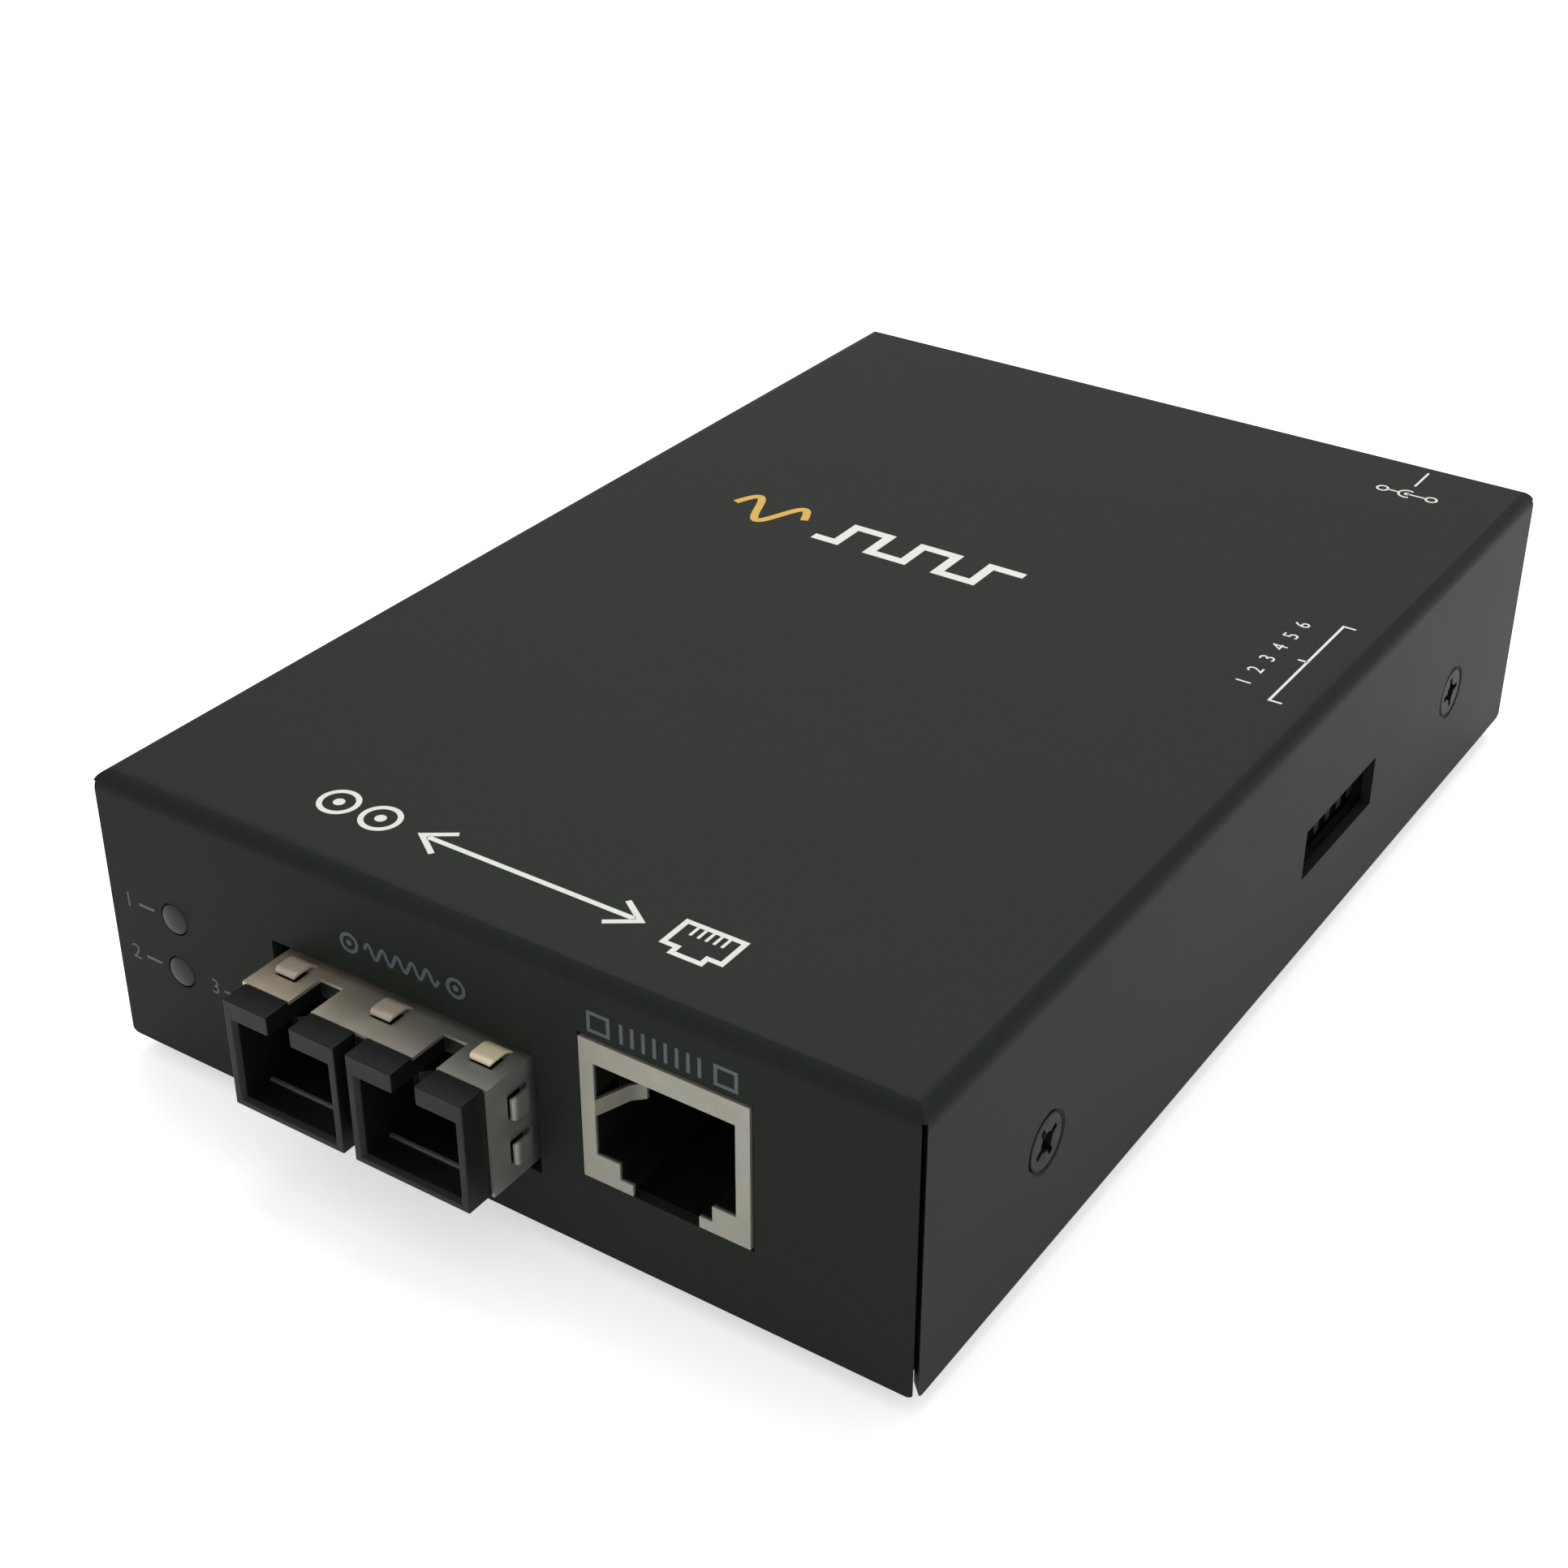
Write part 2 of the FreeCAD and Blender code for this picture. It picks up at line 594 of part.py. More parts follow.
def rubber_feet():
    foot = turned("foot", [("0", "0"), ("foot_radius - foot_bevel", "0"), ("foot_radius", "foot_bevel"),
                           ("foot_radius", "foot_rise"), ("0", "foot_rise")])
    links = [copy(foot, f"{side} (side_x - foot_inset)", y)
             for side, _ in MIRRORED
             for y in ("front_y + foot_inset", "rear_y - foot_inset")]
    return piece("rubber_feet", group(*links))


# ---- circuit board and its fixings -----------------------------------------------------------

def post_places():
    return [(f"{side} post_x", y) for side, _ in MIRRORED for y in ("post_front_y", "post_rear_y")]


def pin_hole(x, y, half):
    return rectangle(about(x, half), about(y, half))


def circuit_board():
    body = new_body("board")
    pad(body, "XY", "slab_z", "deck_z",
        rectangle(about("0", "board_x"), ("board_front", "board_rear")))
    dress(body, "Fillet", "Radius", "1", is_upright)
    holes = [(x, y, "board_hole") for x, y in post_places()]
    pocket(body, "XY", "slab_z - 1", "deck_z + 1", *holes)
    slots = [pin_hole(x, y, "lead_width / 2 + lead_play") for x, y in fibre_leads() + switch_leads()]
    slots += [pin_hole(x, y, "lamp_lead / 2 + lead_play") for x, y in lamp_lead_places()]
    slots += [tag_slot(x, y, "lead_play") for x, y in inlet_tags()]
    pocket(body, "XY", "slab_z - 1", "deck_z + 1", *slots)
    return piece("circuit_board", body)


def board_posts():
    posts = []
    for x, y in post_places():
        barrel = doc.addObject("Part::Prism", "Hexagon")
        barrel.Polygon = 6
        bind(barrel, Circumradius="post_radius", Height="slab_z - floor_top")
        seat(barrel, x, y, "floor_top")
        shank = rod("z", "post_shank", "sheet_thick", x, y, "under_z")
        bore = rod("z", "board_screw + thread_play", "slab_z", x, y, "under_z - 1")
        posts.append(cut(fuse(barrel, shank), bore))
    return piece("board_posts", group(*posts))


def board_screws():
    screws = []
    for x, y in post_places():
        head = rod("z", "board_head", "head_height", x, y, "deck_z")
        shank = rod("z", "board_screw", "deck_z - floor_top", x, y, "floor_top")
        slot = block(about(x, "cross_span / 2"), about(y, "cross_width / 2"),
                     ("deck_z + head_height / 2", "deck_z + 2 * head_height"))
        slot_across = block(about(x, "cross_width / 2"), about(y, "cross_span / 2"),
                            ("deck_z + head_height / 2", "deck_z + 2 * head_height"))
        screws.append(cut(fuse(head, shank), slot, slot_across))
    return piece("board_screws", group(*screws))


# ---- twin fibre receptacle -------------------------------------------------------------------

def port_x(index):
    return f"fibre_x + ({row(index, 2, 'port_pitch')})"


def fibre_housing():
    """Moulded housing: two noses in front, one block behind them under the shield."""
    body = new_body("fibre")
    pad(body, "XZ", "lip_y", "fibre_end - shield_thick - shield_fit",
        rectangle(about("fibre_x", "core_x"), ("deck_z", "core_z")))
    noses = [rectangle(about(port_x(i), "nose_width / 2"), ("deck_z", "deck_z + nose_height"))
             for i in range(2)]
    pad(body, "XZ", "mouth_y", "lip_y", *noses)
    ports = [rectangle(about(port_x(i), "port_width / 2"), ("port_z", "port_z + port_height"))
             for i in range(2)]
    pocket(body, "XZ", "mouth_y", "port_end", *ports)
    keys = [rectangle(about(port_x(i), "key_width / 2"), ("port_axis", "deck_z + 2 * nose_height"))
            for i in range(2)]
    pocket(body, "XZ", "mouth_y - 1", "front_y - key_end", *keys)
    cans = [(port_x(i), "port_axis", "can_radius + thread_play") for i in range(2)]
    pocket(body, "XZ", "can_start", "fibre_end", *cans)
    bores = [(port_x(i), "port_axis", "sleeve_radius + thread_play") for i in range(2)]
    pocket(body, "XZ", "port_end - 1", "can_start + 1", *bores)
    def on_mouth(edge):
        box, front = edge.BoundBox, body.Tip.Shape.BoundBox.YMin
        inside = edge.CenterOfMass.z > body.Tip.Shape.BoundBox.ZMin + size("port_floor") / 2
        return box.YMax < front + 1e-3 and inside and is_port_edge(edge)

    dress(body, "Chamfer", "Size", "port_bevel", on_mouth)
    return piece("fibre_housing", body)


def is_port_edge(edge):
    """Edges of a port's mouth, apart from the keyway's."""
    box = edge.BoundBox
    low = size("foot_rise") + size("board_rise") + size("board_thick") + size("port_floor")
    on_floor = box.ZLength < 1e-3 and abs(box.ZMin - low) < 1e-3
    on_wall = abs(box.ZLength - size("port_height")) < 1e-3
    return on_floor or on_wall


def shield_finger(plane, across, root, surface, out):
    """A spring finger lanced from a shield: it rises from its root and stands clear in front."""
    body = new_body("finger")
    lift, skin = "finger_lift", "shield_thick"
    tip, bend = f"({root}) - finger_length", f"({root}) - finger_length / 3"

    def at(height):
        return f"({surface}) {out} ({height})"
    corners = [(root, at(f"-{skin}")), (root, at("0")), (bend, at(lift)), (tip, at(lift)),
               (tip, at(f"{lift} - {skin}")), (bend, at(f"{lift} - {skin}"))]
    if plane == "XY":
        corners = [(x, y) for y, x in corners]
    pad(body, plane, f"({across}) - finger_width / 2", f"({across}) + finger_width / 2", corners)
    return body


def fibre_shield():
    """Folded shield over the receptacle, with keyways, windows and lanced spring fingers."""
    low, high = "lip_y + shield_fit", "fibre_end"
    outer = block(about("fibre_x", "shield_width / 2"), (low, high),
                  ("deck_z", "deck_z + nose_height"))
    inner = block(about("fibre_x", "shield_width / 2 - shield_thick"),
                  (f"{low} - 1", "fibre_end - shield_thick"),
                  ("deck_z - 1", "deck_z + nose_height - shield_thick"))
    root = "front_y + finger_back"
    window_y = (f"{root} - finger_length", f"{root} - finger_length / 3")
    top, tools, fingers = "deck_z + nose_height", [inner], []
    for i in range(2):
        tools.append(block(about(port_x(i), "key_width / 2"), (f"{low} - 1", "front_y - key_end"),
                           ("port_axis", "deck_z + 2 * nose_height")))
    for x in finger_places_x():
        tools.append(block(about(x, "finger_width / 2"), window_y,
                           (f"{top} - 2 * shield_thick", f"{top} + 1")))
        fingers.append(shield_finger("YZ", x, root, top, "+"))
    for side, out in (("-", "-"), ("+", "+")):
        wall = f"fibre_x {side} shield_width / 2"
        inside = f"fibre_x {side} (shield_width / 2 - 2 * shield_thick)"
        outside = f"fibre_x {side} (shield_width / 2 + 1)"
        span = (outside, inside) if side == "-" else (inside, outside)
        for z in finger_places_z():
            tools.append(block(span, window_y, about(z, "finger_width / 2")))
            fingers.append(shield_finger("XY", z, root, wall, out))
    return piece("fibre_shield", fuse(cut(outer, *tools), *fingers))


def finger_places_x():
    return ["fibre_x - shield_width * 0.4", "fibre_x", "fibre_x + shield_width * 0.4"]


def finger_places_z():
    return ["deck_z + nose_height * 0.28", "deck_z + nose_height * 0.7"]


def ferrule_sleeves():
    """Optical cans with the sleeves that a plug's ferrule enters."""
    solids = []
    for i in range(2):
        x, start = port_x(i), "mouth_y + sleeve_start"
        length = "can_start - mouth_y - sleeve_start"
        sleeve = rod("y", "sleeve_radius", length, x, start, "port_axis")
        can = rod("y", "can_radius", "can_length", x, "can_start", "port_axis")
        bore = rod("y", "sleeve_bore", length, x, f"{start} - 1", "port_axis")
        solids.append(cut(fuse(sleeve, can), bore))
    return piece("ferrule_sleeves", group(*solids))


def latch_arms():
    """Two hooked arms in each port, one on each side of the sleeve."""
    arms = []
    for i in range(2):
        for side in ("-", "+"):
            body = new_body("latch")
            outer = f"{port_x(i)} {side} (port_width / 2 - latch_gap)"
            inner = f"{port_x(i)} {side} (port_width / 2 - latch_gap - latch_thick)"
            hook = f"{port_x(i)} {side} (port_width / 2 - latch_gap - latch_thick - latch_hook)"
            tip = "mouth_y + latch_start"
            corners = [(outer, "port_end"), (outer, tip), (inner, tip), (hook, f"{tip} + hook_length / 2"),
                       (hook, f"{tip} + hook_length"), (inner, f"{tip} + hook_length"),
                       (inner, "port_end")]
            pad(body, "XY", "port_axis - latch_height / 2", "port_axis + latch_height / 2", corners)
            arms.append(body)
    return piece("latch_arms", group(*arms))


def fibre_leads():
    return [(f"fibre_x + ({row(i, 9, 'lead_pitch')})", "fibre_end - pin_row") for i in range(9)]


def leads(name, places):
    half = "lead_width / 2"
    pins = [block(about(x, half), about(y, half), ("slab_z - lead_below", "deck_z")) for x, y in places]
    return piece(name, group(*pins))


# ---- copper socket ---------------------------------------------------------------------------

def mouth_outline():
    """Mouth of the socket, with the stepped notch that takes the plug's latch below."""
    half = {"mouth": "mouth_width / 2", "step": "step_width / 2", "notch": "notch_width / 2"}
    right = [("notch", "notch_low"), ("notch", "step_low"), ("step", "step_low"),
             ("step", "mouth_low"), ("mouth", "mouth_low"), ("mouth", "mouth_top")]
    corners = [(f"copper_x + {half[w]}", f"deck_z + {level}") for w, level in right]
    return corners + [(f"copper_x - {half[w]}", f"deck_z + {level}") for w, level in reversed(right)]


def socket_profile(skin, floor):
    """Side view of the socket, drawn in by a skin; its heel stands behind the front wall."""
    heel, face = f"heel_y + {skin}", f"jack_y + {skin}"
    back, roof, sill = f"jack_end - {skin}", f"jack_z - {skin}", f"sill_z + {skin}"
    return [(heel, floor), (back, floor), (back, roof), (face, roof), (face, sill), (heel, sill)]


def copper_housing():
    body = new_body("insert")
    skin = "(shield_thick + shield_fit)"
    low, high = about("copper_x", f"jack_width / 2 - {skin}")
    pad(body, "YZ", low, high, socket_profile(skin, "deck_z"))
    pocket(body, "XZ", "jack_y", "jack_y + mouth_depth", mouth_outline())
    slots = [rectangle(about(contact_x(i), "contact_width"),
                       ("deck_z + mouth_top - 1", "deck_z + mouth_top + contact_slot"))
             for i in range(8)]
    pocket(body, "XZ", "jack_y", "jack_y + mouth_depth", *slots)
    ear_z = about("deck_z + ear_level + ear_height / 2", "ear_height / 2 + ear_play")
    ears = [rectangle(about(f"copper_x {side} mouth_width / 2", "ear_slot"), ear_z)
            for side in ("-", "+")]
    pocket(body, "XZ", "jack_y", "jack_y + ear_length", *ears)
    return piece("copper_housing", body)


def contact_x(index):
    return f"copper_x + ({row(index, 8, 'contact_pitch')})"


def copper_contacts():
    """Eight spring contacts: each lies in the roof of the mouth and slopes down to the back."""
    top, wire = "deck_z + mouth_top", "contact_width"
    contacts = []
    for i in range(8):
        body = new_body("contact")
        rise, fall = f"{top} + contact_rise", f"{top} - contact_drop"
        front, back = "jack_y + contact_front", "jack_y + mouth_depth"
        corners = [(front, rise), (back, fall), (back, f"{fall} - {wire}"), (front, f"{rise} - {wire}")]
        low, high = about(contact_x(i), "contact_width / 2")
        pad(body, "YZ", low, high, corners)
        contacts.append(body)
    return piece("copper_contacts", group(*contacts))


def copper_shield():
    """Folded shield round the socket, with a side spring in each side of the mouth."""
    body = new_body("jackshield")
    low, high = about("copper_x", "jack_width / 2")
    pad(body, "YZ", low, high, socket_profile("0", "deck_z"))
    pocket(body, "YZ", f"{low} + shield_thick", f"{high} - shield_thick",
           socket_profile("shield_thick", "deck_z - 1"))
    pocket(body, "XZ", "jack_y - 1", "heel_y + 2 * shield_thick", mouth_outline())
    pocket(body, "XZ", "jack_y + shield_thick", "heel_y + 2 * shield_thick",
           rectangle(about("copper_x", "step_width / 2"), ("deck_z", "deck_z + step_low")))
    for side in ("-", "+"):
        skin = "shield_thick"
        steps = [(f"-{skin}", "0"), ("0", "0"), ("ear_lean", "ear_bend"), ("ear_reach", "ear_length"),
                 ("ear_reach", f"ear_length + {skin}"), (f"ear_lean - {skin}", f"ear_bend + {skin} / 2"),
                 (f"-{skin}", skin)]
        corners = [(f"copper_x {side} (mouth_width / 2 - ({reach}))", f"jack_y + {back}")
                   for reach, back in steps]
        pad(body, "XY", "deck_z + ear_level", "deck_z + ear_level + ear_height", corners)
    return piece("copper_shield", body)


# ---- lamps -----------------------------------------------------------------------------------

def lamp_places():
    return [("lamp_x", "deck_z + lamp_low"), ("lamp_x", "deck_z + lamp_low + lamp_pitch"),
            ("lamp_side_x", "deck_z + lamp_low")]


def lamp_lead_places():
    spots = []
    for x in ("lamp_x", "lamp_side_x"):
        spots += [(f"{x} {side} lead_pitch / 2", "holder_rear + lead_back") for side in ("-", "+")]
    return spots


def lamp_holders():
    """Right-angle holders: one carries two lamps above each other, one a single lamp."""
    holders = []
    for x, z in (("lamp_x", "deck_z + lamp_low + lamp_pitch"), ("lamp_side_x", "deck_z + lamp_low")):
        holders.append(block(about(x, "holder_width / 2"), ("holder_front", "holder_rear"),
                             ("deck_z", f"{z} + holder_width / 2")))
    bores = [rod("y", "lamp_radius + lamp_clear", "holder_depth - holder_wall", x, "holder_front", z)
             for x, z in lamp_places()]
    return piece("lamp_holders", group(cut(holders[0], *bores[:2]), cut(holders[1], bores[2])))


def indicator_lamps():
    lamps = []
    for x, z in lamp_places():
        shoulder = "lamp_tip + lamp_radius / 3"
        barrel = rod("y", "lamp_radius", f"holder_rear - holder_wall - ({shoulder})", x, shoulder, z)
        nose = cone("y", "lamp_radius * 0.7", "lamp_radius", "lamp_radius / 3", x, "lamp_tip", z)
        lamps.append(fuse(barrel, nose))
    return piece("indicator_lamps", group(*lamps))


def lamp_leads():
    half = "lamp_lead / 2"
    wires = [block(about(x, half), about(y, half), ("slab_z - lead_below", "deck_z + lamp_low"))
             for x, y in lamp_lead_places()]
    return piece("lamp_leads", group(*wires))


# ---- setting switches ------------------------------------------------------------------------

def slider_y(index):
    return f"switch_y + ({row(index, 'switch_count', 'switch_pitch')})"


def switch_body():
    """Side-facing switch body: a slot and a wider chamber behind it for each slider."""
    body = new_body("switch")
    half = "switch_count * switch_pitch / 2 + switch_margin - switch_pitch / 2 + 1"
    pad(body, "YZ", "switch_rear", "switch_face",
        rectangle(about("switch_y", half), ("deck_z", "deck_z + switch_body")))
    count = int(size("switch_count"))
    slots = [rectangle(about(slider_y(i), "slot_width / 2"), about("slot_z", "slot_height / 2"))
             for i in range(count)]
    pocket(body, "YZ", "switch_face - slider_wall - 0.1", "switch_face + 1", *slots)
    chambers = [block(("shoe_back - slider_play", "switch_face - slider_wall"),
                      about(slider_y(i), "shoe_width / 2 + slider_play"),
                      about("slot_z", "slot_height / 2 + 0.3")) for i in range(count)]
    return piece("switch_body", cut(body, *chambers))


def switch_slider(index):
    """A knob in the slot with a wider shoe behind the face that keeps it in."""
    y = slider_y(index)
    low = "slot_z - slot_height / 2 + slider_play"
    stem = ("shoe_back + shoe_depth", "switch_face + slider_proud")
    knob = block(("shoe_back + shoe_depth / 2", stem[1]), about(y, "slot_width / 2 - slider_play"),
                 (low, f"{low} + slider_height"))
    shoe = block(("shoe_back", stem[0]), about(y, "shoe_width / 2"), (low, f"{low} + slider_height"))
    return piece(f"switch_slider_{index + 1}", fuse(knob, shoe))


def switch_leads():
    count = int(size("switch_count"))
    return [(x, slider_y(i)) for i in range(count) for x in ("switch_rear + 0.9", "switch_face - 1")]


# ---- power inlet -----------------------------------------------------------------------------

def inlet_tags():
    return [("power_x", "rear_y - inlet_depth + tag_back"),
            ("power_x - 0.3 * inlet_width", "rear_y - inlet_depth / 2")]


def tag_slot(x, y, play="0"):
    return rectangle(about(x, f"tag_width / 2 + {play}"), about(y, f"tag_thick / 2 + {play}"))


def power_inlet():
    body = new_body("inlet")
    low, high = "rear_y - inlet_depth", "rear_y"
    pad(body, "XZ", low, high,
        rectangle(about("power_x", "inlet_width / 2"), ("deck_z", "deck_z + inlet_height")))
    dress(body, "Fillet", "Radius", "inlet_round",
          lambda edge: edge.BoundBox.YLength > 1 and edge.BoundBox.ZMin > body.Shape.BoundBox.ZMax - 1e-3)
    pocket(body, "XZ", "rear_y - inlet_bore", "rear_y + 1", ("power_x", "inlet_axis", "inlet_radius"))
    pocket(body, "XZ", "rear_y - inlet_bore - pin_root", "rear_y",
           ("power_x", "inlet_axis", "pin_radius + thread_play"))
    return piece("power_inlet", body)


def inlet_pin():
    start, shoulder = "rear_y - inlet_bore - pin_root", "rear_y - pin_tip - pin_radius"
    shaft = rod("y", "pin_radius", f"({shoulder}) - ({start})", "power_x", start, "inlet_axis")
    tip = cone("y", "pin_radius", "pin_radius / 2", "pin_radius", "power_x", shoulder, "inlet_axis")
    return piece("inlet_pin", fuse(shaft, tip))


def inlet_contacts():
    tags = []
    for x, y in inlet_tags():
        body = new_body("tag")
        pad(body, "XY", "slab_z - lead_below", "deck_z", tag_slot(x, y))
        tags.append(body)
    return piece("inlet_contacts", group(*tags))


# ---- parts on the board ----------------------------------------------------------------------

def converter_chip():
    body = new_body("chip")
    pad(body, "XY", "deck_z + leg_thick", "deck_z + leg_thick + chip_height",
        rectangle(about("0", "chip_size / 2"), about("chip_y", "chip_size / 2")))
    dress(body, "Chamfer", "Size", "0.3", is_upright)
    return piece("converter_chip", body)


def chip_legs():
    """Gull-wing legs on the four sides of the converter chip."""
    leg = new_body("leg")
    skin, half = "leg_thick", "chip_size / 2"
    knee = f"{half} + leg_reach / 2"
    corners = [(half, "chip_height / 2 + leg_thick"), (knee, "chip_height / 2 + leg_thick"),
               (knee, skin), (f"{half} + leg_reach", skin), (f"{half} + leg_reach", "0"),
               (f"{knee} - {skin}", "0"), (f"{knee} - {skin}", "chip_height / 2"), (half, "chip_height / 2")]
    pad(leg, "XZ", "-leg_pitch / 4", "leg_pitch / 4", corners)
    links = []
    for i in range(int(size("leg_count"))):
        along = row(i, "leg_count", "leg_pitch")
        for turn, x, y in ((0, "0", along), (90, along, "0"), (180, "0", along), (270, along, "0")):
            rotation = FreeCAD.Rotation(V(0, 0, 1), turn)
            links.append(copy(leg, x, f"chip_y + {y}", "deck_z", rotation))
    return piece("chip_legs", group(*links))


def line_transformer():
    y = "jack_end + filter_gap + filter_depth / 2"
    return piece("line_transformer",
                 block(about("copper_x", "filter_width / 2"), about(y, "filter_depth / 2"),
                       ("deck_z", "deck_z + filter_height")))


def capacitors():
    cans = []
    for i in range(3):
        x, y = "power_x - capacitor_side", f"rear_y - capacitor_back - {i} * capacitor_pitch"
        half = "capacitor_radius + base_reach"
        base = block(about(x, half), about(y, half), ("deck_z", "deck_z + base_rise"))
        can = rod("z", "capacitor_radius", "capacitor_height", x, y, "deck_z + base_rise")
        cans.append(fuse(base, can))
    return piece("capacitors", group(*cans))


def power_inductor():
    x, y = "power_x - coil_side", "rear_y - coil_back"
    core = block(about(x, "coil_size / 2"), about(y, "coil_size / 2"), ("deck_z", "deck_z + coil_height"))
    return piece("power_inductor", core)


def crystal_can():
    body = new_body("crystal")
    pad(body, "XY", "deck_z", "deck_z + crystal_height",
        rectangle(about("-crystal_side", "crystal_length / 2"), about("chip_y", "crystal_width / 2")))
    dress(body, "Fillet", "Radius", "0.45 * crystal_width", is_upright)
    return piece("crystal_can", body)


# ---- the whole converter ---------------------------------------------------------------------

def build():
    top_cover()
    base_tray()
    cover_screws()
    rubber_feet()
    circuit_board()
    board_posts()
    board_screws()
    fibre_housing()
    fibre_shield()
    ferrule_sleeves()
    latch_arms()
    leads("fibre_pins", fibre_leads())
    copper_shield()
    copper_housing()
    copper_contacts()
    lamp_holders()
    indicator_lamps()
    lamp_leads()
    switch_body()
    for index in range(int(size("switch_count"))):
        switch_slider(index)
    leads("switch_pins", switch_leads())
    power_inlet()
    inlet_pin()
    inlet_contacts()
    converter_chip()
    chip_legs()
    line_transformer()
    capacitors()
    power_inductor()
    crystal_can()
    doc.recompute()


def check():
    """Stop on any object that failed and on any piece without a sound shape."""
    failed = [thing.Label for thing in doc.Objects
              if "Invalid" in thing.State or "Error" in thing.State]
    failed += [thing.Label for thing in pieces if thing.Shape.isNull() or not thing.Shape.isValid()]
    if failed:
        raise RuntimeError("these did not build: " + ", ".join(failed))


def write():
    os.makedirs("parts", exist_ok=True)
    for thing in pieces:
        thing.Shape.exportStep(f"parts/{thing.Label}.step")
        print(f"{thing.Label}: {len(thing.Shape.Solids)} solids, {thing.Shape.Volume:.1f} mm3")


build()
check()
write()
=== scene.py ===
import math

import bmesh
import bpy
from mathutils import Matrix, Vector


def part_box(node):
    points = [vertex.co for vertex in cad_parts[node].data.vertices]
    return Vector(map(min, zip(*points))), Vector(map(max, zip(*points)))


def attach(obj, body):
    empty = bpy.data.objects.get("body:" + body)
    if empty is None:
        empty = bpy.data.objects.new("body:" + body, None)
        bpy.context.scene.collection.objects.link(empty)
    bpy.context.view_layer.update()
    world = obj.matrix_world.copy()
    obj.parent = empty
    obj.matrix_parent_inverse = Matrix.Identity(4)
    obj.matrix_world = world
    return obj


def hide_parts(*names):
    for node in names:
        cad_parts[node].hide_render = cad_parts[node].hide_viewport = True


mm = 0.001
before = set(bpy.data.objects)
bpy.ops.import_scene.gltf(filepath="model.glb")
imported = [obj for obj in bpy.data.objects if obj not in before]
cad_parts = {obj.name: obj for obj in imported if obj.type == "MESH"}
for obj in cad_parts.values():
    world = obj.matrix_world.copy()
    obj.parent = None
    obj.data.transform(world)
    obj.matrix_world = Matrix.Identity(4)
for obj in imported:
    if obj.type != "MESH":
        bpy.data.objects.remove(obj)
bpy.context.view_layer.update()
scene = bpy.context.scene
scene.view_settings.view_transform = "Standard"
mainBody = "converter"
print("frame loaded:", len(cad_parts), "nodes")


# Colours are written as sRGB hex and used as linear light.
def linearColour(hexCode):
    shares = [int(hexCode[i:i + 2], 16) / 255 for i in (0, 2, 4)]
    linear = [c / 12.92 if c <= 0.04045 else ((c + 0.055) / 1.055) ** 2.4 for c in shares]
    return (*linear, 1.0)


def addNode(tree, kind, settings=None, inputs=None):
    node = tree.nodes.new(kind)
    for name, value in (settings or {}).items():
        setattr(node, name, value)
    for name, value in (inputs or {}).items():
        if isinstance(value, bpy.types.NodeSocket):
            tree.links.new(value, node.inputs[name])
        else:
            node.inputs[name].default_value = value
    return node


# Either colour may be the output of another node.
def mixColours(tree, share, first, second):
    mixer = addNode(tree, "ShaderNodeMix", {"data_type": "RGBA"},
                    {"Factor": share, 6: first, 7: second})
    return mixer.outputs[2]


grainNoise = {"Detail": 3.0, "Roughness": 0.55}
driftNoise = {"Detail": 2.0}
driftRange = {"From Min": 0.3, "From Max": 0.7}


# One finish: two colours mixed by a fine grain, a roughness that drifts over a broader pattern, and
# a bump. A stretch draws the grain out into lines. A painted sheen fade tints it between two places
# on X, in mm: a painted reflection or glint that brightens or greys the piece along its length.
def makeFinish(name, look):
    material = bpy.data.materials.new(name)
    material.use_nodes = True
    tree = material.node_tree
    tree.nodes.clear()
    onPart = addNode(tree, "ShaderNodeTexCoord").outputs["Object"]
    place = onPart
    if "stretch" in look:
        stretch = addNode(tree, "ShaderNodeMapping", {},
                          {"Vector": onPart, "Scale": look["stretch"]})
        place = stretch.outputs["Vector"]
    grain = addNode(tree, "ShaderNodeTexNoise", {},
                    {"Vector": place, "Scale": 1 / (look["grainMm"] * mm), **grainNoise})
    drift = addNode(tree, "ShaderNodeTexNoise", {},
                    {"Vector": place, "Scale": 1 / (look["driftMm"] * mm), **driftNoise})
    dark, light = linearColour(look["dark"]), linearColour(look["light"])
    paint = mixColours(tree, grain.outputs["Fac"], dark, light)
    # Painted light: the colour turns towards another along X, standing in for a reflection or a
    # glint.
    if "paintedSheenFade" in look:
        start, end, paintedTint = look["paintedSheenFade"]
        apart = addNode(tree, "ShaderNodeSeparateXYZ", {}, {"Vector": onPart})
        share = addNode(tree, "ShaderNodeMapRange", {},
                        {"Value": apart.outputs["X"],
                         "From Min": start * mm, "From Max": end * mm})
        paint = mixColours(tree, share.outputs["Result"], paint, linearColour(paintedTint))
    low, high = look["roughness"]
    rough = addNode(tree, "ShaderNodeMapRange", {},
                    {"Value": drift.outputs["Fac"], **driftRange, "To Min": low, "To Max": high})
    bump = addNode(tree, "ShaderNodeBump", {},
                   {"Height": grain.outputs["Fac"], "Strength": look["bump"],
                    "Distance": look["bumpMm"] * mm})
    shader = addNode(tree, "ShaderNodeBsdfPrincipled", {},
                     {"Base Color": paint, "Roughness": rough.outputs["Result"],
                      "Metallic": look.get("metallic", 0.0), "Normal": bump.outputs["Normal"]})
    for key, socket in (("ior", "IOR"), ("specular", "Specular IOR Level")):
        if key in look:
            shader.inputs[socket].default_value = look[key]
    addNode(tree, "ShaderNodeOutputMaterial", {}, {"Surface": shader.outputs["BSDF"]})
    return material


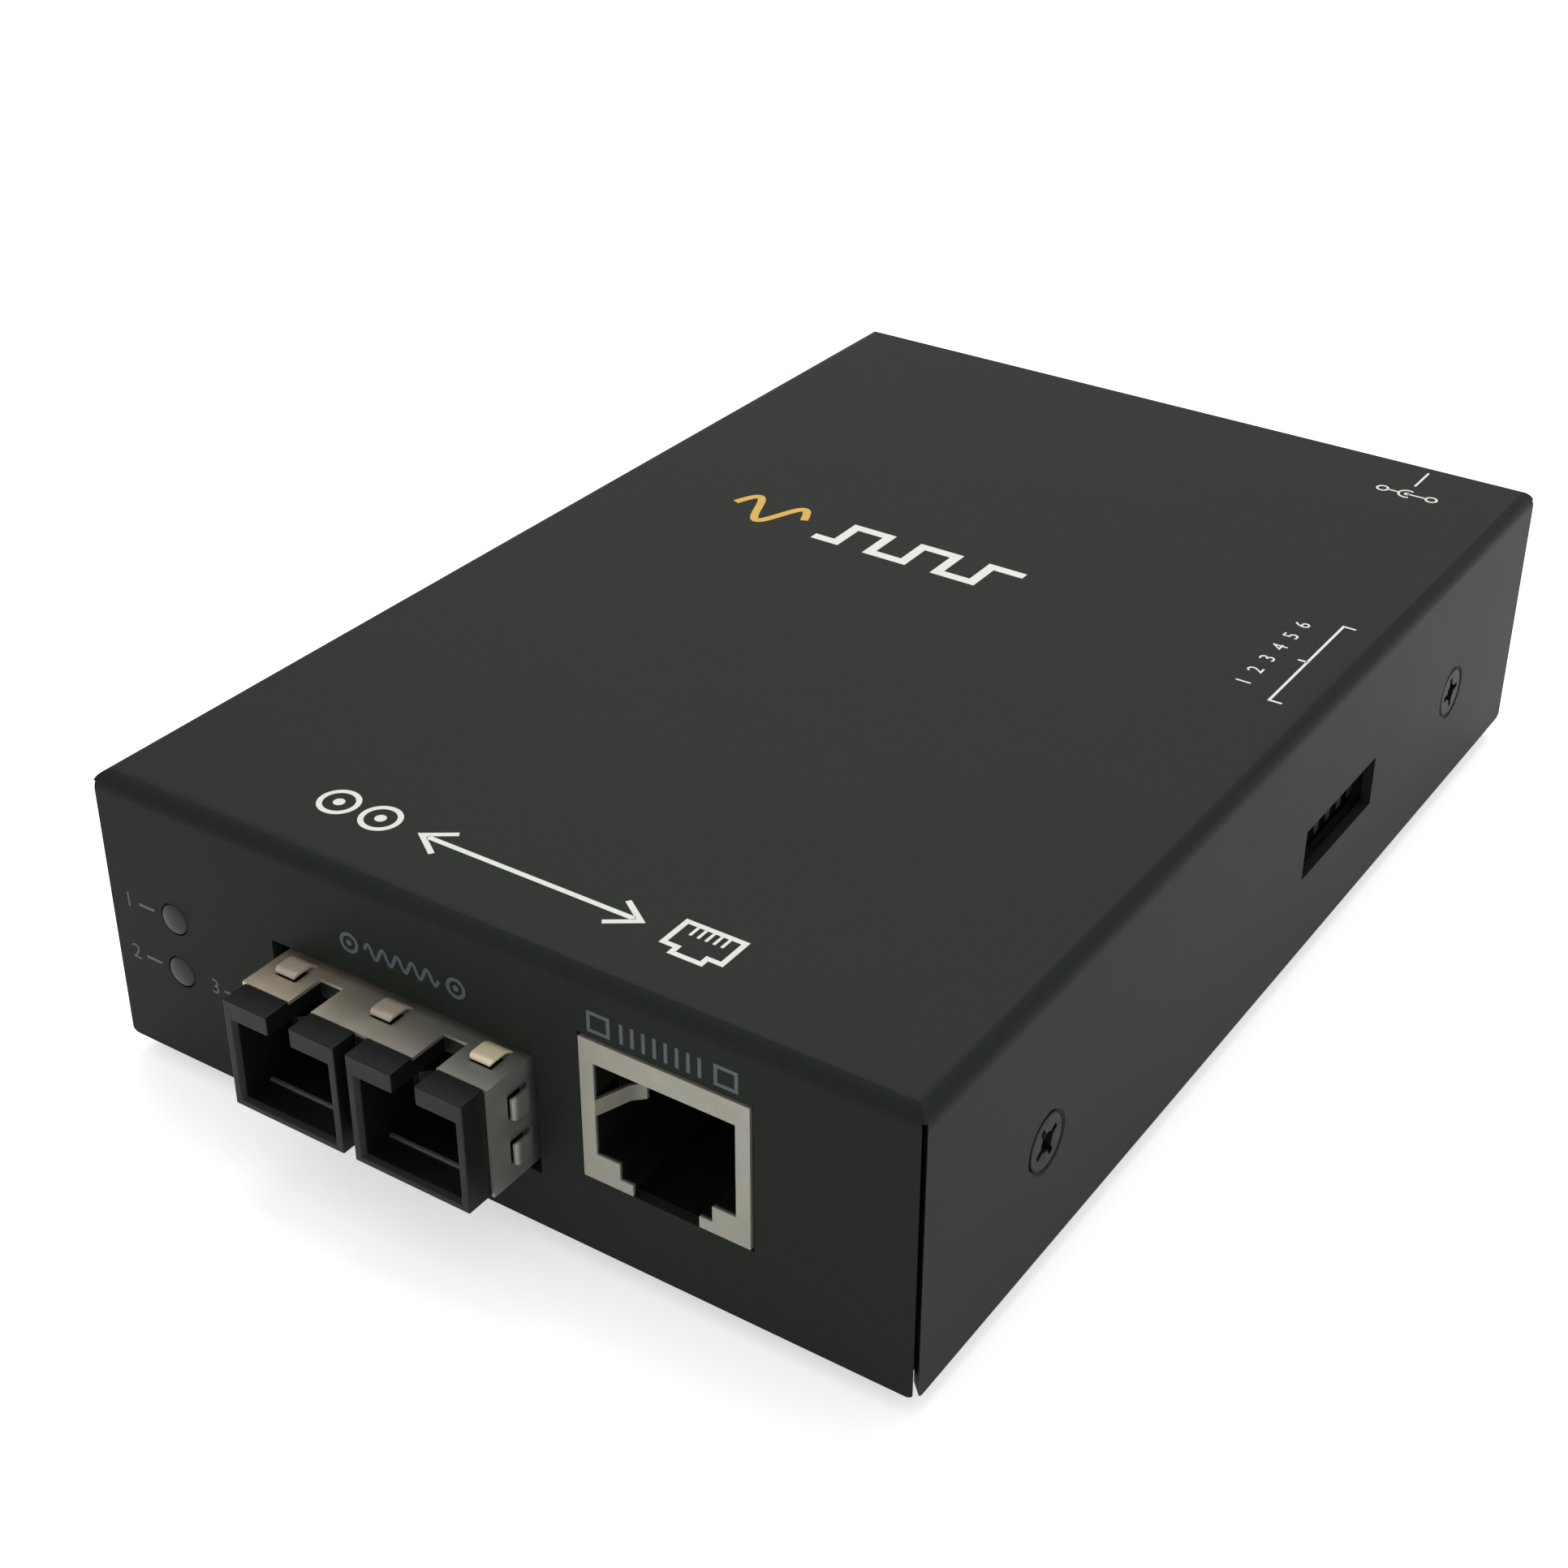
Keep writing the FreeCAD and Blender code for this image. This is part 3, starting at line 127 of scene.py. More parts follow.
finishes = {
    # epoxy-polyester powder coat on steel: satin black with a faint orange peel
    "powderCoat": {"dark": "20241f", "light": "272b26", "grainMm": 0.35, "driftMm": 14.0,
                   "roughness": (0.46, 0.48), "bump": 0.2, "bumpMm": 0.015,
                   "ior": 1.5, "specular": 0.044},
    # black zinc on a cold-headed steel screw: near black, a soft gleam on the head's edge
    "blackZinc": {"dark": "181918", "light": "1f201f", "grainMm": 0.2, "driftMm": 2.0,
                  "roughness": (0.4, 0.5), "bump": 0.2, "bumpMm": 0.01,
                  "ior": 1.6, "specular": 0.06},
    # moulded chloroprene rubber: matt, almost no gleam
    "footRubber": {"dark": "111211", "light": "191a19", "grainMm": 0.3, "driftMm": 4.0,
                   "roughness": (0.8, 0.9), "bump": 0.4, "bumpMm": 0.03, "ior": 1.5},
    # glass-filled polyester, black, moulded in a spark-eroded tool: fine even grain
    "mouldedPolyester": {"dark": "0d0e0d", "light": "141514", "grainMm": 0.18, "driftMm": 3.0,
                         "roughness": (0.4, 0.5), "bump": 0.3, "bumpMm": 0.012,
                         "ior": 1.55, "specular": 0.16},
    # tin over phosphor bronze sheet: dull and warm, with faint rolling lines; greyer to the right,
    # a painted reflection that is brightest at the left end
    "tinPlate": {"dark": "b8ab98", "light": "d2c5b1", "grainMm": 0.3, "driftMm": 3.0,
                 "paintedSheenFade": (-19, 3, "8d8e88"), "stretch": (1.0, 0.15, 1.0),
                 "roughness": (0.4, 0.52), "bump": 0.15, "bumpMm": 0.01, "metallic": 0.6},
    # the same tin, a little brighter, with a painted glint that turns the right-hand top finger
    # yellow-white
    "paintedGlintTin": {"dark": "bcae9e", "light": "d0c1b0", "grainMm": 0.35, "driftMm": 1.2,
                     "paintedSheenFade": (-5, 2, "fff0cc"), "roughness": (0.3, 0.42),
                     "bump": 0.1, "bumpMm": 0.008, "metallic": 0.1},
    # polyester painted light grey along a rib: a painted highlight where the rib's edge catches
    # light
    "paintedHighlightPolyester": {"dark": "4c504d", "light": "616562", "grainMm": 0.2, "driftMm": 1.0,
                        "roughness": (0.25, 0.35), "bump": 0.15, "bumpMm": 0.01, "ior": 1.55},
    # matt nickel over a drawn brass shield: pale, soft, a little warm
    "mattNickel": {"dark": "918f83", "light": "a19f92", "grainMm": 0.25, "driftMm": 3.0,
                   "roughness": (0.45, 0.58), "bump": 0.12, "bumpMm": 0.01, "metallic": 0.55},
    # hard gold over nickel spring wire
    "goldPlate": {"dark": "b98f45", "light": "d9b468", "grainMm": 0.4, "driftMm": 2.0,
                  "roughness": (0.22, 0.32), "bump": 0.08, "bumpMm": 0.01, "metallic": 1.0},
    # turned stainless steel
    "turnedSteel": {"dark": "9b9a96", "light": "b6b5b0", "grainMm": 0.2, "driftMm": 2.0,
                    "roughness": (0.25, 0.36), "bump": 0.1, "bumpMm": 0.01, "metallic": 1.0},
    # diffused epoxy lamp, unlit: smoke grey with a soft skin
    "diffusedEpoxy": {"dark": "3a3d3b", "light": "464947", "grainMm": 0.3, "driftMm": 1.5,
                      "roughness": (0.35, 0.45), "bump": 0.1, "bumpMm": 0.01,
                      "ior": 1.52, "specular": 0.1},
    # dark polyamide slider, moulded
    "mouldedPolyamide": {"dark": "0b0c0c", "light": "121313", "grainMm": 0.15, "driftMm": 1.0,
                         "roughness": (0.45, 0.55), "bump": 0.2, "bumpMm": 0.01,
                         "ior": 1.53, "specular": 0.08},
    # green solder mask over glass laminate
    "solderMask": {"dark": "0e3a20", "light": "155230", "grainMm": 0.8, "driftMm": 8.0,
                   "roughness": (0.3, 0.4), "bump": 0.2, "bumpMm": 0.02, "ior": 1.5},
    # drawn aluminium can: fine lines run round it
    "drawnAluminium": {"dark": "a9aaab", "light": "c2c3c4", "grainMm": 0.3, "driftMm": 3.0,
                       "stretch": (1.0, 1.0, 0.1), "roughness": (0.3, 0.4),
                       "bump": 0.1, "bumpMm": 0.01, "metallic": 1.0},
    # screen-printed inks: flat, with a dry grain
    "whiteInk": {"dark": "c3c3bd", "light": "dadad5", "grainMm": 0.2, "driftMm": 4.0,
                 "roughness": (0.5, 0.6), "bump": 0.2, "bumpMm": 0.008, "ior": 1.5},
    "amberInk": {"dark": "b98e1c", "light": "cba02c", "grainMm": 0.2, "driftMm": 4.0,
                 "roughness": (0.5, 0.6), "bump": 0.2, "bumpMm": 0.008, "ior": 1.5},
    "greyInk": {"dark": "3c464b", "light": "4a5459", "grainMm": 0.2, "driftMm": 4.0,
                "roughness": (0.5, 0.6), "bump": 0.2, "bumpMm": 0.008, "ior": 1.5},
}
finish = {name: makeFinish(name, look) for name, look in finishes.items()}
print("finishes:", len(finish))


# Object made of a finished mesh: it rides on a body.
def addPiece(name, mesh, material, slot, body, *nodes):
    piece = bpy.data.objects.new(name, mesh)
    scene.collection.objects.link(piece)
    mesh.materials.clear()
    mesh.materials.append(finish[material])
    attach(piece, body)
    if nodes:
        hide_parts(*nodes)
    return piece


def addHolder(data):
    holder = bpy.data.objects.new("holder", data)
    scene.collection.objects.link(holder)
    return holder


# Mesh of a holder with its modifiers worked in; the holder itself goes.
def plainMesh(holder):
    graph = bpy.context.evaluated_depsgraph_get()
    mesh = bpy.data.meshes.new_from_object(holder.evaluated_get(graph))
    bpy.data.objects.remove(holder)
    return mesh


def newMesh(work, name):
    mesh = bpy.data.meshes.new(name)
    work.to_mesh(mesh)
    work.free()
    return mesh


def shadeByAngle(mesh, degrees):
    mesh.shade_smooth()
    mesh.set_sharp_from_angle(angle=math.radians(degrees))


def breakEdges(holder, widthMm, degrees, segments=2):
    bevel = holder.modifiers.new("broken edges", "BEVEL")
    bevel.width = widthMm * mm
    bevel.segments = segments
    bevel.limit_method = "ANGLE"
    bevel.angle_limit = math.radians(degrees)


# Wide faces stay flat beside the small ones at their edges.
def weighNormals(holder, keepSharp=False):
    flat = holder.modifiers.new("flat faces", "WEIGHTED_NORMAL")
    flat.mode = "FACE_AREA"
    flat.weight = 100
    flat.thresh = 0.01
    flat.keep_sharp = keepSharp


weldDistance = 0.002 * mm
flatAngle = math.radians(1)
softEdgeDegrees = 30


# A CAD node's own form, joined up, with its sharp edges broken as a press or a mould leaves them
def softenNode(node, name, material, slot, bevelMm, body=mainBody):
    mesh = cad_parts[node].data.copy()
    work = bmesh.new()
    work.from_mesh(mesh)
    bmesh.ops.remove_doubles(work, verts=work.verts, dist=weldDistance)
    bmesh.ops.dissolve_limit(work, angle_limit=flatAngle, verts=work.verts, edges=work.edges)
    for face in work.faces:
        face.smooth = True
    work.to_mesh(mesh)
    work.free()
    holder = addHolder(mesh)
    breakEdges(holder, bevelMm, softEdgeDegrees)
    weighNormals(holder)
    return addPiece(name, plainMesh(holder), material, slot, body, node)


# Cover, tray and the moulded and folded pieces of the connectors
softened = {
    "coverShell": ("top_cover", "powderCoat", "case_paint", 0.16),
    "trayShell": ("base_tray", "powderCoat", "case_paint", 0.12),
    "fibreNose": ("fibre_housing", "mouldedPolyester", "port_plastic", 0.16),
    "latchArms": ("latch_arms", "mouldedPolyester", "port_plastic", 0.1),
    "ferruleSleeves": ("ferrule_sleeves", "turnedSteel", "bare_steel", 0.08),
    "socketShield": ("copper_shield", "mattNickel", "tinned_shield", 0.06),
    "socketInsert": ("copper_housing", "mouldedPolyester", "port_plastic", 0.08),
    "powerInlet": ("power_inlet", "mouldedPolyester", "port_plastic", 0.15),
    "inletPin": ("inlet_pin", "turnedSteel", "bare_steel", 0.05),
    "switchBody": ("switch_body", "mouldedPolyester", "port_plastic", 0.08),
}
for name, (node, material, slot, bevelMm) in softened.items():
    softenNode(node, name, material, slot, bevelMm)
sliderCount = 6
sliderEdge = 0.12
for index in range(1, sliderCount + 1):
    softenNode(f"switch_slider_{index}", f"sliderKnob{index}", "mouldedPolyamide",
               "slider_plastic", sliderEdge, f"slider_{index}")
print("softened pieces:", len(softened) + sliderCount)

# CAD nodes that keep their own mesh, inside the case
inside = {
    "solderMask": ["circuit_board"],
    "turnedSteel": ["board_posts", "board_screws", "fibre_pins", "lamp_leads", "switch_pins",
                    "inlet_contacts", "chip_legs"],
    "mouldedPolyester": ["lamp_holders", "converter_chip", "line_transformer", "power_inductor"],
    "drawnAluminium": ["capacitors", "crystal_can"],
}
for material, nodes in inside.items():
    for node in nodes:
        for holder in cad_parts[node].material_slots:
            holder.material = finish[material]


# Solid of revolution about Z from (radius, height) in mm; a zero radius closes a pole.
def latheMesh(name, profile, steps):
    work = bmesh.new()
    rings = []
    for radius, height in profile:
        count = steps if radius else 1
        points = [(radius * math.cos(a) * mm, radius * math.sin(a) * mm, height * mm)
                  for a in [2 * math.pi * i / count for i in range(count)]]
        rings.append([work.verts.new(point) for point in points])
    for lower, upper in zip(rings, rings[1:]):
        for i in range(steps):
            corners = [lower[i % len(lower)], lower[(i + 1) % len(lower)],
                       upper[(i + 1) % len(upper)], upper[i % len(upper)]]
            work.faces.new(list(dict.fromkeys(corners)))
    bmesh.ops.recalc_face_normals(work, faces=work.faces)
    return newMesh(work, name)


def quarterTurn(steps):
    return [math.pi / 2 * i / steps for i in range(steps + 1)]


# Four faces between each pair of four-cornered sections, and one at each open end
def joinRows(work, pairs):
    for near, far in pairs:
        for i in range(4):
            j = (i + 1) % 4
            work.faces.new((near[i], near[j], far[j], far[i]))


def capRows(work, rows):
    work.faces.new(rows[0])
    work.faces.new(rows[-1])


# Copies become real geometry with their finish, and leave the tree.
def finishTree(tree, copies, material, outlet):
    real = addNode(tree, "GeometryNodeRealizeInstances", {}, {"Geometry": copies})
    dressed = addNode(tree, "GeometryNodeSetMaterial", {},
                      {"Geometry": real.outputs["Geometry"], "Material": material})
    addNode(tree, "NodeGroupOutput", {}, {outlet: dressed.outputs["Geometry"]})


# Copies of one modelled piece on marked points, each turned as its point says
def placesTree():
    tree = bpy.data.node_groups.new("piecesOnPlaces", "GeometryNodeTree")
    face = tree.interface
    face.new_socket("Places", in_out="INPUT", socket_type="NodeSocketGeometry")
    face.new_socket("Piece", in_out="INPUT", socket_type="NodeSocketObject")
    face.new_socket("Finish", in_out="INPUT", socket_type="NodeSocketMaterial")
    face.new_socket("Pieces", in_out="OUTPUT", socket_type="NodeSocketGeometry")
    given = addNode(tree, "NodeGroupInput").outputs
    piece = addNode(tree, "GeometryNodeObjectInfo", {}, {"Object": given["Piece"]})
    turn = addNode(tree, "GeometryNodeInputNamedAttribute", {"data_type": "FLOAT_VECTOR"},
                   {"Name": "turn"})
    toRotation = addNode(tree, "FunctionNodeEulerToRotation", {},
                         {"Euler": turn.outputs["Attribute"]})
    spread = addNode(tree, "GeometryNodeInstanceOnPoints", {},
                     {"Points": given["Places"], "Instance": piece.outputs["Geometry"],
                      "Rotation": toRotation.outputs["Rotation"]})
    finishTree(tree, spread.outputs["Instances"], given["Finish"], "Pieces")
    return tree


piecesOnPlaces = placesTree()


def setInput(modifier, name, value):
    for item in modifier.node_group.interface.items_tree:
        if item.name == name and item.in_out == "INPUT":
            modifier[item.identifier] = value


# Places are (x, y, z) in metres, turns are Euler angles.
def repeatPiece(name, template, places, turns, material, slot, *nodes):
    points = bpy.data.meshes.new("places")
    points.from_pydata([tuple(place) for place in places], [], [])
    turnData = points.attributes.new("turn", "FLOAT_VECTOR", "POINT")
    for item, turn in zip(turnData.data, turns):
        item.vector = turn
    pattern = addHolder(template)
    holder = addHolder(points)
    spread = holder.modifiers.new("places", "NODES")
    spread.node_group = piecesOnPlaces
    setInput(spread, "Piece", pattern)
    setInput(spread, "Finish", finish[material])
    mesh = plainMesh(holder)
    bpy.data.objects.remove(pattern)
    return addPiece(name, mesh, material, slot, mainBody, *nodes)


def boxMesh(name, *boxes):
    work = bmesh.new()
    for low, high in boxes:
        made = bmesh.ops.create_cube(work, size=1.0)
        for vert in made["verts"]:
            share = vert.co + Vector((0.5, 0.5, 0.5))
            vert.co = Vector([low[i] + (high[i] - low[i]) * share[i] for i in range(3)]) * mm
    return newMesh(work, name)


# The cutter may be of solids that run through each other.
def cutAway(mesh, cutter):
    holder = addHolder(mesh)
    tool = addHolder(cutter)
    hole = holder.modifiers.new("hole", "BOOLEAN")
    hole.operation = "DIFFERENCE"
    hole.solver = "EXACT"
    hole.use_self = True
    hole.object = tool
    result = plainMesh(holder)
    bpy.data.objects.remove(tool)
    return result


# Cover screws: flat countersunk heads a little below the paint, cross recess with a driven core.
# The seat is the radius of the CAD screws' heads, and gives the heads' middles.
coverScrew = {"seat": 2.8, "head": 2.45, "sunk": 0.04, "rim": 0.1, "sheet": 1.0, "shank": 1.42,
              "length": 5.9, "point": 0.3, "steps": 40, "threadFrom": 0.3, "turns": 8,
              "pitch": 0.5, "crest": 0.2, "armSpan": 3.3, "armWidth": 0.6, "armDeep": 0.78,
              "armTop": 0.5, "armStagger": 0.01, "coreSpan": 1.9, "coreTop": 0.6, "coreBend": 0.5,
              "coreTaper": 0.9, "coreDeep": 1.3, "coreSteps": 24, "spins": (0.5, 0.15)}
s = coverScrew
thread = []
for turn in range(s["turns"]):
    height = -s["sheet"] - s["threadFrom"] - s["pitch"] * turn
    thread += [(s["shank"], height), (s["shank"] - s["crest"], height - s["pitch"] / 2)]
headLine = [(0, -s["sunk"]), (s["head"] - s["rim"], -s["sunk"]),
            (s["head"], -s["sunk"] - s["rim"]), (s["shank"], -s["sheet"])]
endLine = [(s["shank"] - s["point"], -s["length"]), (0, -s["length"])]
screwMesh = latheMesh("screw", headLine + thread + endLine, s["steps"])
arm, width, core = s["armSpan"] / 2, s["armWidth"] / 2, s["coreSpan"] / 2
deep, top, stagger = s["armDeep"], s["armTop"], s["armStagger"]
crossTool = boxMesh("cross", ((-arm, -width, -deep), (arm, width, top)),
                    ((-width, -arm, -deep - stagger), (width, arm, top + stagger)))
coreTool = latheMesh("core", [(0, s["coreTop"]), (core, s["coreTop"]),
                              (core * s["coreTaper"], -s["coreBend"]), (0, -s["coreDeep"])],
                     s["coreSteps"])
screwMesh = cutAway(cutAway(screwMesh, crossTool), coreTool)
shadeByAngle(screwMesh, degrees=30)
low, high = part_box("cover_screws")
seat = s["seat"] * mm
screwPlaces, screwTurns = [], []
for x, side in ((high[0], 1), (low[0], -1)):
    for y, spin in zip((low[1] + seat, high[1] - seat), s["spins"]):
        screwPlaces.append((x, y, low[2] + seat))
        screwTurns.append((-math.pi / 2, spin, -side * math.pi / 2))
repeatPiece("coverScrews", screwMesh, screwPlaces, screwTurns, "blackZinc", "screw_black",
            "cover_screws")

# Feet: turned-in sole with a moulding recess and a soft shoulder
rubberFoot = {"radius": 4.5, "rise": 2.0, "bevel": 0.5, "bevelSteps": 6, "recess": 2.3,
              "recessDeep": 0.45, "recessWall": 0.25, "lip": 0.2, "lipDeep": 0.18, "waist": 0.12,
              "waistRise": 1.1, "collar": 0.25, "collarIn": 0.1, "steps": 64}
s = rubberFoot
low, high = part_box("rubber_feet")
inset = s["radius"] * mm
recessLine = [(0, s["recessDeep"]), (s["recess"] - s["recessWall"], s["recessDeep"]),
              (s["recess"], s["lipDeep"]), (s["recess"] + s["lip"], 0)]
bend = [(s["radius"] - s["bevel"] * (1 - math.sin(a)), s["bevel"] * (1 - math.cos(a)))
        for a in quarterTurn(s["bevelSteps"])]
sideLine = [(s["radius"] - s["waist"], s["waistRise"]), (s["radius"], s["rise"] - s["collar"]),
            (s["radius"] - s["collarIn"], s["rise"]), (0, s["rise"])]
footMesh = latheMesh("foot", recessLine + bend + sideLine, s["steps"])
shadeByAngle(footMesh, degrees=40)
footPlaces = [(x, y, low[2]) for x in (low[0] + inset, high[0] - inset)
              for y in (low[1] + inset, high[1] - inset)]
repeatPiece("rubberFeet", footMesh, footPlaces, [(0, 0, 0)] * 4, "footRubber", "foot_rubber",
            "rubber_feet")

# Lamps: domed tip, straight barrel and a groove above its root
lampSizes = {"radius": 1.4, "dome": 0.45, "domeSteps": 8, "grooveLow": 0.4, "grooveHigh": 0.8,
             "grooveDeep": 0.1, "steps": 40}
s = lampSizes
low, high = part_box("indicator_lamps")
lampLong = (high[1] - low[1]) / mm
dome = [(s["radius"] * math.sin(a), lampLong - s["dome"] * (1 - math.cos(a)))
        for a in quarterTurn(s["domeSteps"])]
deep = s["grooveDeep"]
groove = [(s["radius"], s["grooveHigh"]), (s["radius"] - deep, s["grooveHigh"] - deep),
          (s["radius"] - deep, s["grooveLow"] + deep), (s["radius"], s["grooveLow"])]
lampMesh = latheMesh("lamp", dome + groove + [(s["radius"], 0.0), (0, 0.0)], s["steps"])
shadeByAngle(lampMesh, degrees=40)
inset = s["radius"] * mm
lampPlaces = [(low[0] + inset, high[1], low[2] + inset),
              (low[0] + inset, high[1], high[2] - inset),
              (high[0] - inset, high[1], low[2] + inset)]
repeatPiece("indicatorLamps", lampMesh, lampPlaces, [(math.pi / 2, 0, 0)] * 3, "diffusedEpoxy",
            "lamp_plastic", "indicator_lamps")
print("screws, feet and lamps placed")

# Receptacle shield: the folded sheet, cut off flush so that its plain CAD fingers go
shieldSizes = {"wide": 24.9, "topZ": 17.9, "centreX": -7.6, "rootY": -56.1,
               "across": (-0.4, 0.0, 0.4), "sideZ": (10.484, 14.81), "skim": 0.004}
cutTolerance = 1e-7
s = shieldSizes
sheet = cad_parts["fibre_shield"].data.copy()
work = bmesh.new()
work.from_mesh(sheet)
bmesh.ops.remove_doubles(work, verts=work.verts, dist=weldDistance)
half = s["wide"] / 2
for point, out in (((0, 0, s["topZ"]), (0, 0, 1)), ((s["centreX"] + half, 0, 0), (1, 0, 0)),
                   ((s["centreX"] - half, 0, 0), (-1, 0, 0))):
    cutPlane = (Vector(point) + Vector(out) * s["skim"]) * mm
    everything = work.verts[:] + work.edges[:] + work.faces[:]
    made = bmesh.ops.bisect_plane(work, geom=everything, dist=cutTolerance, plane_co=cutPlane,
                                  plane_no=out, clear_outer=True)
    rim = [item for item in made["geom_cut"] if isinstance(item, bmesh.types.BMEdge)]
    bmesh.ops.holes_fill(work, edges=rim, sides=0)
bmesh.ops.dissolve_limit(work, angle_limit=flatAngle, verts=work.verts, edges=work.edges)
work.to_mesh(sheet)
work.free()
shadeByAngle(sheet, degrees=30)
holder = addHolder(sheet)
weighNormals(holder, keepSharp=True)
# The sheet's tin carries a painted reflection: bright at its left end, greyer to the right.
addPiece("fibreShieldSheet", plainMesh(holder), "tinPlate", "tinned_shield", mainBody,
         "fibre_shield")

# Spring fingers of the shield. The shares are of a finger's length: it rises over its first part,
# dips over its last and narrows at the tip.
fingerSizes = {"wide": 2.2, "long": 2.7, "lift": 0.63, "riseShare": 0.42, "dip": 0.16,
               "dipShare": 0.18, "nip": 0.12, "nipShare": 0.14, "skin": 0.28, "edge": 0.06,
               "edgeDegrees": 50, "steps": 14}


def towardsTip(t, share):
    return max(0.0, (t - 1 + share) / share) ** 2


def fingerMesh(sizes):
    work = bmesh.new()
    rows = []
    for i in range(sizes["steps"] + 1):
        t = i / sizes["steps"]
        y = -t * sizes["long"]
        rise = sizes["lift"] * (1 - (1 - min(t / sizes["riseShare"], 1)) ** 2)
        z = rise - sizes["dip"] * towardsTip(t, sizes["dipShare"])
        side = sizes["wide"] / 2 - sizes["nip"] * towardsTip(t, sizes["nipShare"])
        under = z - sizes["skin"]
        rows.append([work.verts.new((x * mm, y * mm, level * mm)) for x, level in
                     ((-side, z), (side, z), (side, under), (-side, under))])
    joinRows(work, list(zip(rows, rows[1:])))
    capRows(work, rows)
    bmesh.ops.recalc_face_normals(work, faces=work.faces)
    holder = addHolder(newMesh(work, "finger"))
    breakEdges(holder, sizes["edge"], sizes["edgeDegrees"])
    mesh = plainMesh(holder)
    shadeByAngle(mesh, degrees=40)
    return mesh


topPlaces = [Vector((s["centreX"] + share * s["wide"], s["rootY"], s["topZ"])) * mm
             for share in s["across"]]
# The top fingers carry a painted glint, yellow-white on the right-hand finger.
repeatPiece("topFingers", fingerMesh(fingerSizes), topPlaces, [(0, 0, 0)] * 3, "paintedGlintTin",
            "tinned_shield")
sidePlaces, sideTurns = [], []
for side in (-1, 1):
    for z in s["sideZ"]:
        sidePlaces.append(Vector((s["centreX"] + side * half, s["rootY"], z)) * mm)
        sideTurns.append((0, side * math.pi / 2, 0))
# The side fingers take the same tin with its painted reflection, brighter on the left and greyer on
# the right.
repeatPiece("sideFingers", fingerMesh(fingerSizes), sidePlaces, sideTurns, "tinPlate",
            "tinned_shield")
print("receptacle shield and fingers made")

# Rib across the floor of each port, where a plug's body comes to rest
portRib = {"centres": (-13.95, -1.25), "half": 4.7, "near": -60.75, "far": -60.35, "floorZ": 8.45,
           "topZ": 8.75, "round": 0.1, "roundSteps": 3}
s = portRib
holder = addHolder(boxMesh("portRib", *[((x - s["half"], s["near"], s["floorZ"]),
                                         (x + s["half"], s["far"], s["topZ"]))
                                        for x in s["centres"]]))
breakEdges(holder, s["round"], softEdgeDegrees, s["roundSteps"])
ribMesh = plainMesh(holder)
shadeByAngle(ribMesh, degrees=50)
# The rib's light grey is a painted highlight on black polyester.
addPiece("portRibs", ribMesh, "paintedHighlightPolyester", "port_plastic", mainBody)

bendSteps = 5


# Contacts of the copper socket: one sprung wire swept along its path, repeated across the mouth
def contactsTree():
    tree = bpy.data.node_groups.new("contactRow", "GeometryNodeTree")
    face = tree.interface
    face.new_socket("Path", in_out="INPUT", socket_type="NodeSocketGeometry")
    for name in ("Count", "Pitch", "Wide", "Thick", "Bend"):
        kind = "NodeSocketInt" if name == "Count" else "NodeSocketFloat"
        face.new_socket(name, in_out="INPUT", socket_type=kind)
    face.new_socket("Finish", in_out="INPUT", socket_type="NodeSocketMaterial")
    face.new_socket("Contacts", in_out="OUTPUT", socket_type="NodeSocketGeometry")
    given = addNode(tree, "NodeGroupInput").outputs
    path = addNode(tree, "GeometryNodeMeshToCurve", {}, {"Mesh": given["Path"]})
    soft = addNode(tree, "GeometryNodeFilletCurve", {"mode": "POLY"},
                   {"Curve": path.outputs["Curve"], "Radius": given["Bend"], "Count": bendSteps})
    section = addNode(tree, "GeometryNodeCurvePrimitiveQuadrilateral", {},
                      {"Width": given["Thick"], "Height": given["Wide"]})
    wire = addNode(tree, "GeometryNodeCurveToMesh", {},
                   {"Curve": soft.outputs["Curve"], "Profile Curve": section.outputs["Curve"],
                    "Fill Caps": True})
    step = addNode(tree, "ShaderNodeCombineXYZ", {}, {"X": given["Pitch"]})
    line = addNode(tree, "GeometryNodeMeshLine", {"mode": "OFFSET"},
                   {"Count": given["Count"], "Offset": step.outputs["Vector"]})
    spread = addNode(tree, "GeometryNodeInstanceOnPoints", {},
                     {"Points": line.outputs["Mesh"], "Instance": wire.outputs["Mesh"]})
    finishTree(tree, spread.outputs["Instances"], given["Finish"], "Contacts")
    return tree


contactRow = {"Count": 8, "Pitch": 1.02 * mm, "Wide": 0.4 * mm, "Thick": 0.3 * mm,
              "Bend": 0.5 * mm}
low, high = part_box("copper_contacts")
thick, firstX = contactRow["Thick"], low[0] + contactRow["Wide"] / 2
pathPoints = [(firstX, high[1] - thick, high[2] - thick / 2),
              (firstX, low[1] + thick, high[2] - thick / 2),
              (firstX, high[1] - thick, low[2] + thick)]
pathMesh = bpy.data.meshes.new("path")
pathMesh.from_pydata(pathPoints, [(0, 1), (1, 2)], [])
holder = addHolder(pathMesh)
rowMaker = holder.modifiers.new("contacts", "NODES")
rowMaker.node_group = contactsTree()
for name, value in contactRow.items():
    setInput(rowMaker, name, value)
setInput(rowMaker, "Finish", finish["goldPlate"])
contactMesh = plainMesh(holder)
shadeByAngle(contactMesh, degrees=35)
addPiece("socketContacts", contactMesh, "goldPlate", "gold_contact", mainBody, "copper_contacts")
print("socket contacts made")

# A print is laid out flat in mm as strokes (points, width, closed), discs and numbers, then set on
# its face: origin, direction of reading and direction of its tops. It rises above the face by its
# ink, and reaches as far below. A stroke's sharp corner is cut where its mitre would run away.
inkRise = 0.02
leastMitre = 0.35
discSteps = 24
ringSteps = 32
letterScale = 1.4
letterSteps = 4


